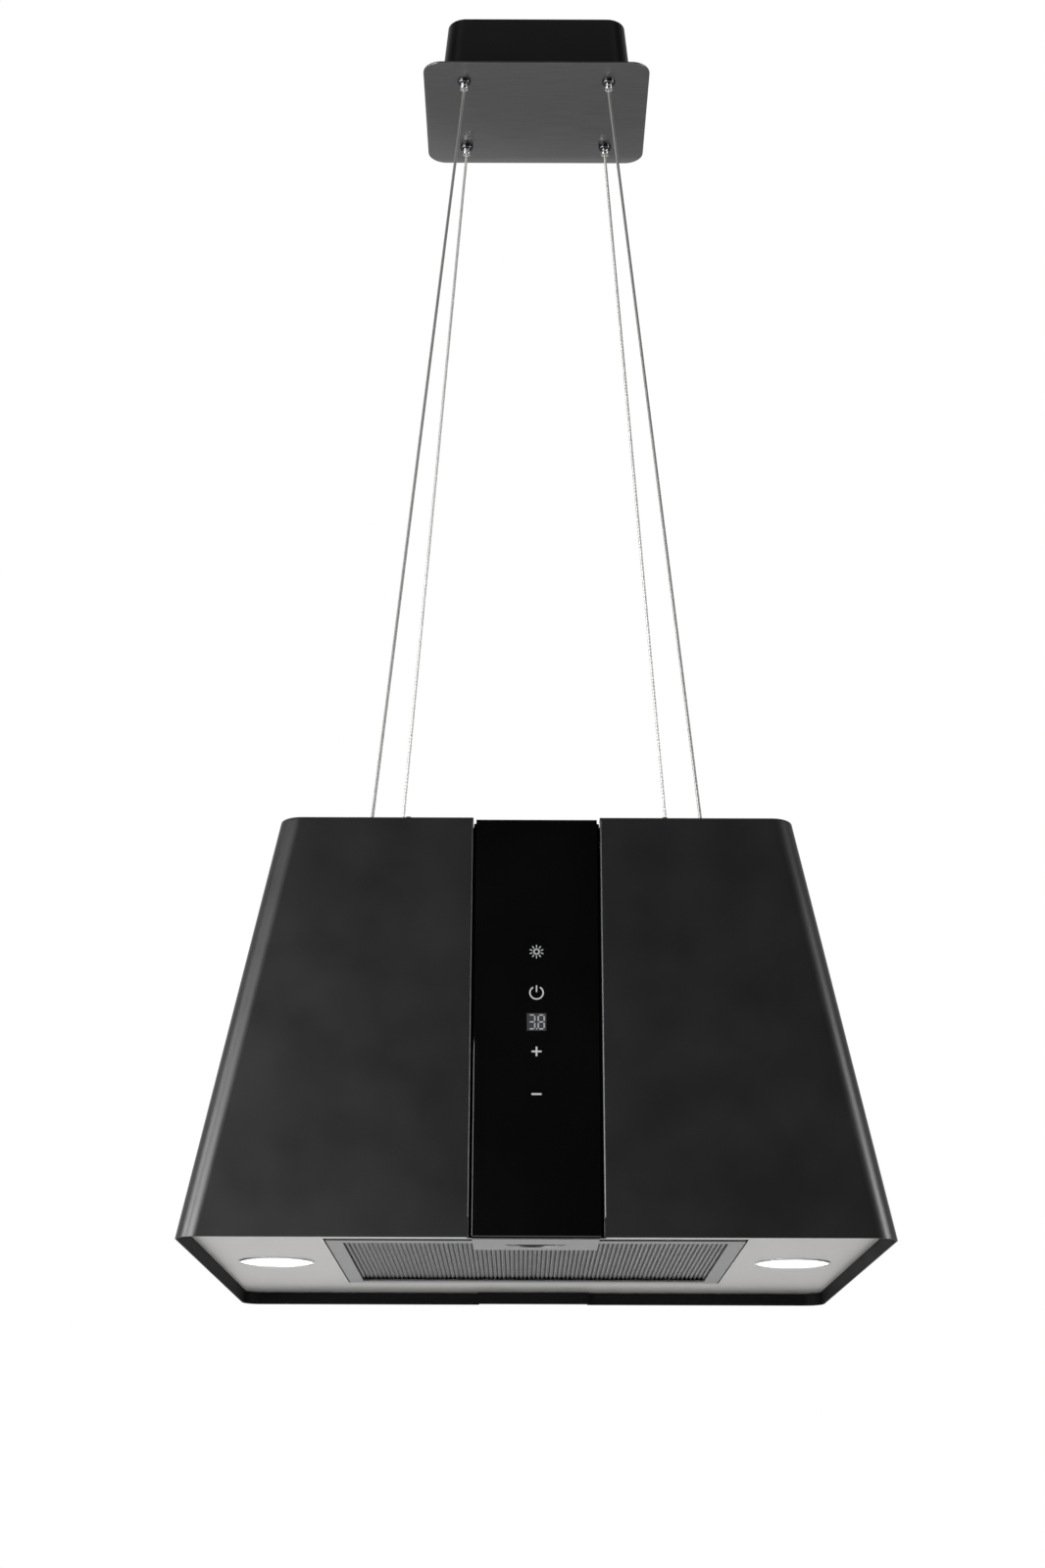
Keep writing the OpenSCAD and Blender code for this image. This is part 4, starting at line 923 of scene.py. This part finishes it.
def lay_print(bm, proud, thickness=0.05 * MM):
    """Thickens flat symbols and lays them on the glass, standing proud of it."""
    bmesh.ops.remove_doubles(bm, verts=bm.verts, dist=1e-6)
    made = bmesh.ops.extrude_face_region(bm, geom=list(bm.faces))["geom"]
    bmesh.ops.translate(bm, vec=(0, thickness, 0), verts=points(made))
    bmesh.ops.translate(bm, vec=(0, RECESS - proud, 0), verts=bm.verts)
    bmesh.ops.transform(bm, matrix=face_frame(), verts=bm.verts)
    outward(bm)


class HOOD_OT_glass(bpy.types.Operator):
    """Glass strips with the lit touch symbols and the display"""

    bl_idname = "hood.glass"
    bl_label = "Glass and symbols"

    def execute(self, context):
        for name, rear in (("front", False), ("rear", True)):
            bm = bmesh.new()
            strip_glass(bm, rear)
            piece(name + "_glass_pane", bm, "black_glass", [name + "_glass"])
        light, power, show, plus, minus = (h * MM for h in (250.7, 213.1, 186.7, 160.3, 122.7))
        bm = bmesh.new()
        arc(bm, light, 1.75 * MM, 2.75 * MM)
        rays, reach = 10, 4.9 * MM
        for i in range(rays):
            a = 2 * math.pi * i / rays
            bar(bm, (reach * math.sin(a), light + reach * math.cos(a)), 0.38 * MM, 1.25 * MM, a)
        arc(bm, power, 5.1 * MM, 6.3 * MM, math.radians(62))
        bar(bm, (0, power + 3.6 * MM), 0.55 * MM, 3.0 * MM)
        cross(bm, plus, 4.25 * MM, 0.75 * MM)
        bar(bm, (0, minus), 4.25 * MM, 0.8 * MM)
        lay_print(bm, 0.04 * MM)
        piece("touch_symbols", bm, None, material=lit_symbol("diode_lit_symbols", tint("symbol"), 0.7))
        bm = bmesh.new()
        bar(bm, (0, show), 8.3 * MM, 7.9 * MM)
        lay_print(bm, 0.01 * MM)
        window = lit_symbol("display_window_dim", linear("#8a8c90"), 0.06)
        piece("display_window", bm, None, material=window)
        bm = bmesh.new()
        for x, lit in ((-4.0 * MM, "abcdg"), (4.0 * MM, "abcdefg")):
            digit(bm, x, show, lit)
        bar(bm, (0.15 * MM, show - 6.2 * MM), 0.55 * MM, 0.55 * MM)
        lay_print(bm, 0.05 * MM)
        piece("display_digits", bm, None, material=lit_symbol("diode_lit_digits", tint("symbol"), 0.5))
        finish_nodes([
            "glass_tapes", "channel_screws", "control_board", "display_module", "touch_springs"
        ])
        # The channels inside the body take the darker inside coat as painted shade.
        finish_nodes(["front_channel", "rear_channel"], "inside_shaded_paint")
        return {"FINISHED"}


# ---------- underside ----------

class HOOD_OT_underside(bpy.types.Operator):
    """Brushed bottom panel and the two round lamps"""

    bl_idname = "hood.underside"
    bl_label = "Panel and lamps"

    def execute(self, context):
        lamp_x, lamp_y, radius = lamp_place()
        low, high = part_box("lamp_lenses")
        bm = bmesh.new()
        for side in (-1, 1):
            turn(bm, [
                (0.0, low.z), (radius * 0.5, low.z + 0.05 * MM), (radius * 0.8, low.z + 0.2 * MM),
                (radius - 0.7 * MM, low.z + 0.5 * MM), (radius, low.z + 1.1 * MM), (radius, high.z),
                (0.0, high.z),
            ], (side * lamp_x, lamp_y, 0), 64)
        outward(bm)
        piece("lamp_diffusers", bm, "frosted_lens", ["lamp_lenses"])

        low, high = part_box("lamp_rings")
        bezel = high.x - lamp_x
        inner, sleeve = radius + 0.15 * MM, radius + 1.1 * MM
        bm = bmesh.new()
        for side in (-1, 1):
            turn(bm, [
                (inner, low.z + 0.5 * MM), (inner + 0.5 * MM, low.z), (bezel - 0.8 * MM, low.z + 0.1 * MM),
                (bezel - 0.2 * MM, low.z + 0.5 * MM), (bezel, low.z + 1.2 * MM), (sleeve, low.z + 1.2 * MM),
                (sleeve, high.z), (inner, high.z),
            ], (side * lamp_x, lamp_y, 0), 72)
        outward(bm)
        rings = piece("lamp_bezels", bm, "chrome", ["lamp_rings"])
        soften(rings, 0.12 * MM, 2, 30)
        finish_nodes(["bottom_panel", "lamp_heads", "lamp_clips", "led_driver"])
        return {"FINISHED"}


# ---------- grease filter ----------

def pleat_mesh(bm):
    """A pleated sheet whose strands rise and fall across each rib."""
    low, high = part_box("filter_mesh")
    half_x, half_y = (high.x - low.x) / 2 - 0.3 * MM, (high.y - low.y) / 2 - 0.3 * MM
    middle = (low + high) / 2
    pleats = int(2 * half_x / settings().pleat)
    rows = 220
    bmesh.ops.create_grid(bm, x_segments=2 * pleats, y_segments=rows, size=1)
    rise, weave = 2.6 * MM, 0.14 * MM
    bed = low.z + 0.8 * MM
    for v in bm.verts:
        column = round((v.co.x + 1) * pleats)
        row = round((v.co.y + 1) * rows / 2)
        top = column % 2
        ripple = weave * (1 if (row + column // 2) % 2 else -1)
        v.co = Vector((
            middle.x + v.co.x * half_x, middle.y + v.co.y * half_y, bed + top * rise + ripple
        ))
    cup_x, cup_y = 42 * MM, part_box("filter_handle")[1].y - 1 * MM
    pin_x, pin_y = half_x - 11 * MM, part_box("filter_pins")[0].y - 3 * MM

    def in_the_way(face):
        """Whether a face lies where the handle's cup or a hinge pin goes."""
        x, y, _ = face.calc_center_median()
        return (abs(x) < cup_x and y < cup_y) or (abs(x) > pin_x and y > pin_y)

    bmesh.ops.delete(bm, geom=[f for f in bm.faces if in_the_way(f)], context="FACES")
    outward(bm)


class HOOD_OT_filter(bpy.types.Operator):
    """Grease filter with its pleated mesh, handle and latch"""

    bl_idname = "hood.filter"
    bl_label = "Grease filter"

    def execute(self, context):
        bm = bmesh.new()
        pleat_mesh(bm)
        mesh = piece(
            "pleated_grease_mesh", bm, "mesh_aluminium", ["filter_mesh"], "filter", crease=20
        )
        wall = mesh.modifiers.new("strand", "SOLIDIFY")
        wall.thickness = 0.35 * MM
        wall.offset = 0
        finish_nodes([
            "filter_frame", "filter_pins", "filter_handle", "filter_latch", "latch_spring", "filter_catch",
            "hinge_brackets"
        ])
        return {"FINISHED"}


# ---------- inside ----------

class HOOD_OT_inside(bpy.types.Operator):
    """Finishes of the blower, motor and carbon cassettes"""

    bl_idname = "hood.inside"
    bl_label = "Inside"

    def execute(self, context):
        finish_nodes([
            "left_blower_housing", "right_blower_housing", "blower_mounts", "inlet_rings", "impeller",
            "motor", "motor_bracket", "left_carbon_filter", "right_carbon_filter"
        ])
        return {"FINISHED"}


# ---------- stage ----------

def softbox(name, place, size, power):
    """A large soft light aimed at the body, not seen by the camera."""
    lamp = bpy.data.lights.new(name, "AREA")
    lamp.shape = "RECTANGLE"
    lamp.size, lamp.size_y = size
    lamp.energy = power
    obj = bpy.data.objects.new(name, lamp)
    bpy.context.scene.collection.objects.link(obj)
    obj.location = place
    aim = Vector((0, 0, (TOP + BOTTOM) / 2)) - Vector(place)
    obj.rotation_euler = aim.to_track_quat("-Z", "Y").to_euler()
    obj.visible_camera = False


def studio_world():
    """White behind the object; as light, bright low behind it and dark in front."""
    world = bpy.data.worlds.new("studio")
    bpy.context.scene.world = world
    world.use_nodes = True
    tree = world.node_tree
    tree.nodes.clear()
    way = add_node(tree, "ShaderNodeTexCoord").outputs["Generated"]
    axes = add_node(tree, "ShaderNodeSeparateXYZ", None, {"Vector": way}).outputs
    behind = spread(tree, axes["Y"], 0.02, 1.05, -0.1, 0.8)
    low = spread(tree, axes["Z"], 1.0, 0.5, -0.4, 0.5)
    left = spread(tree, axes["X"], 1.12, 0.88, -0.3, 0.3)
    level = add_node(tree, "ShaderNodeMath", {"operation": "MULTIPLY"}, {0: behind, 1: low}).outputs[0]
    glow = add_node(tree, "ShaderNodeMath", {"operation": "MULTIPLY"}, {0: level, 1: left}).outputs[0]
    seen = add_node(tree, "ShaderNodeLightPath").outputs["Is Camera Ray"]
    strength = add_node(tree, "ShaderNodeMix", {"data_type": "FLOAT", 3: 1.0}, {0: seen, 2: glow}).outputs[0]
    back = add_node(tree, "ShaderNodeBackground", {"Color": (1, 1, 1, 1)}, {"Strength": strength})
    add_node(tree, "ShaderNodeOutputWorld", None, {"Surface": back.outputs[0]})


def pale_floor(depth, half=6.0):
    bm = bmesh.new()
    bmesh.ops.create_grid(bm, x_segments=1, y_segments=1, size=half)
    bmesh.ops.translate(bm, vec=(0, 0, -depth), verts=bm.verts)
    mesh = bpy.data.meshes.new("floor")
    bm.to_mesh(mesh)
    bm.free()
    # Painted plaster, seen from above only, so that the underside can be looked at from below.
    # To the camera it also glows a little, so that it stays pale outside the softboxes' reach.
    material, tree, shader, coords = start_material("floor_paint", {"Roughness": 0.8})
    shades(tree, shader, noise(tree, coords, (300, 300, 300), 3), linear("#efefee"), linear("#f6f6f5"))
    clear = add_node(tree, "ShaderNodeBsdfTransparent")
    under = add_node(tree, "ShaderNodeNewGeometry").outputs["Backfacing"]
    glow = add_node(tree, "ShaderNodeEmission", {"Color": linear("#ededec"), "Strength": 1.0})
    seen = add_node(tree, "ShaderNodeLightPath").outputs["Is Camera Ray"]
    share = add_node(tree, "ShaderNodeMath", {"operation": "MULTIPLY", 1: 0.85}, {0: seen}).outputs[0]
    pale = add_node(tree, "ShaderNodeMixShader", None, {0: share, 1: shader.outputs[0], 2: glow.outputs[0]})
    mixed = add_node(tree, "ShaderNodeMixShader", None, {0: under, 1: pale.outputs[0], 2: clear.outputs[0]})
    out = next(n for n in tree.nodes if n.type == "OUTPUT_MATERIAL")
    tree.links.new(mixed.outputs[0], out.inputs["Surface"])
    mesh.materials.append(material)
    obj = bpy.data.objects.new("floor", mesh)
    bpy.context.scene.collection.objects.link(obj)


class HOOD_OT_stage(bpy.types.Operator):
    """Floor, soft studio light and the camera, low in front and tilted up"""

    bl_idname = "hood.stage"
    bl_label = "Stage"

    def execute(self, context):
        s = context.scene.hood_stage
        camera = bpy.data.objects.new("camera", bpy.data.cameras.new("camera"))
        context.scene.collection.objects.link(camera)
        camera.data.lens = s.lens
        camera.data.sensor_width = 36
        camera.location = CAMERA
        turned = Matrix.Rotation(math.pi / 2 + s.tilt, 4, "X") @ Matrix.Rotation(s.roll, 4, "Z")
        camera.rotation_euler = turned.to_euler()
        context.scene.camera = camera
        context.scene.view_settings.view_transform = "Standard"
        studio_world()
        pale_floor(s.floor)
        softbox("key softbox", (-2.15, -2.3, -1.0), (1.3, 1.9), s.key)
        softbox("left softbox", (-2.9, -0.9, -0.9), (0.8, 2.0), s.edge)
        softbox("right softbox", (2.9, -1.2, -0.9), (0.8, 2.0), s.fill)
        softbox("top softbox", (0.0, -0.4, 1.6), (2.4, 2.4), s.top)
        return {"FINISHED"}


# ---------- panel and run ----------

STEPS = (
    HOOD_OT_stage, HOOD_OT_canopy, HOOD_OT_grippers, HOOD_OT_wires, HOOD_OT_shells, HOOD_OT_deck,
    HOOD_OT_glass, HOOD_OT_underside, HOOD_OT_filter, HOOD_OT_inside
)


class HOOD_PT_panel(bpy.types.Panel):
    """Lists the steps that make the hood"""

    bl_label = "Range Hood"
    bl_space_type = "VIEW_3D"
    bl_region_type = "UI"
    bl_category = "Range Hood"

    def draw(self, context):
        for step in STEPS:
            self.layout.operator(step.bl_idname)
        for group in (context.scene.hood_sizes, context.scene.hood_colours, context.scene.hood_stage):
            column = self.layout.column()
            for name in group.bl_rna.properties.keys():
                if name not in ("rna_type", "name"):
                    column.prop(group, name)


GROUPS = {"hood_sizes": HoodSizes, "hood_colours": HoodColours, "hood_stage": HoodStage}


def register():
    for cls in (*GROUPS.values(), *STEPS, HOOD_PT_panel):
        bpy.utils.register_class(cls)
    for name, group in GROUPS.items():
        setattr(bpy.types.Scene, name, PointerProperty(type=group))


def unregister():
    for name in GROUPS:
        delattr(bpy.types.Scene, name)
    for cls in reversed((*GROUPS.values(), *STEPS, HOOD_PT_panel)):
        bpy.utils.unregister_class(cls)


def main():
    register()
    for step in STEPS:
        group, name = step.bl_idname.split(".")
        getattr(getattr(bpy.ops, group), name)()


if __name__ == "__main__":
    main()
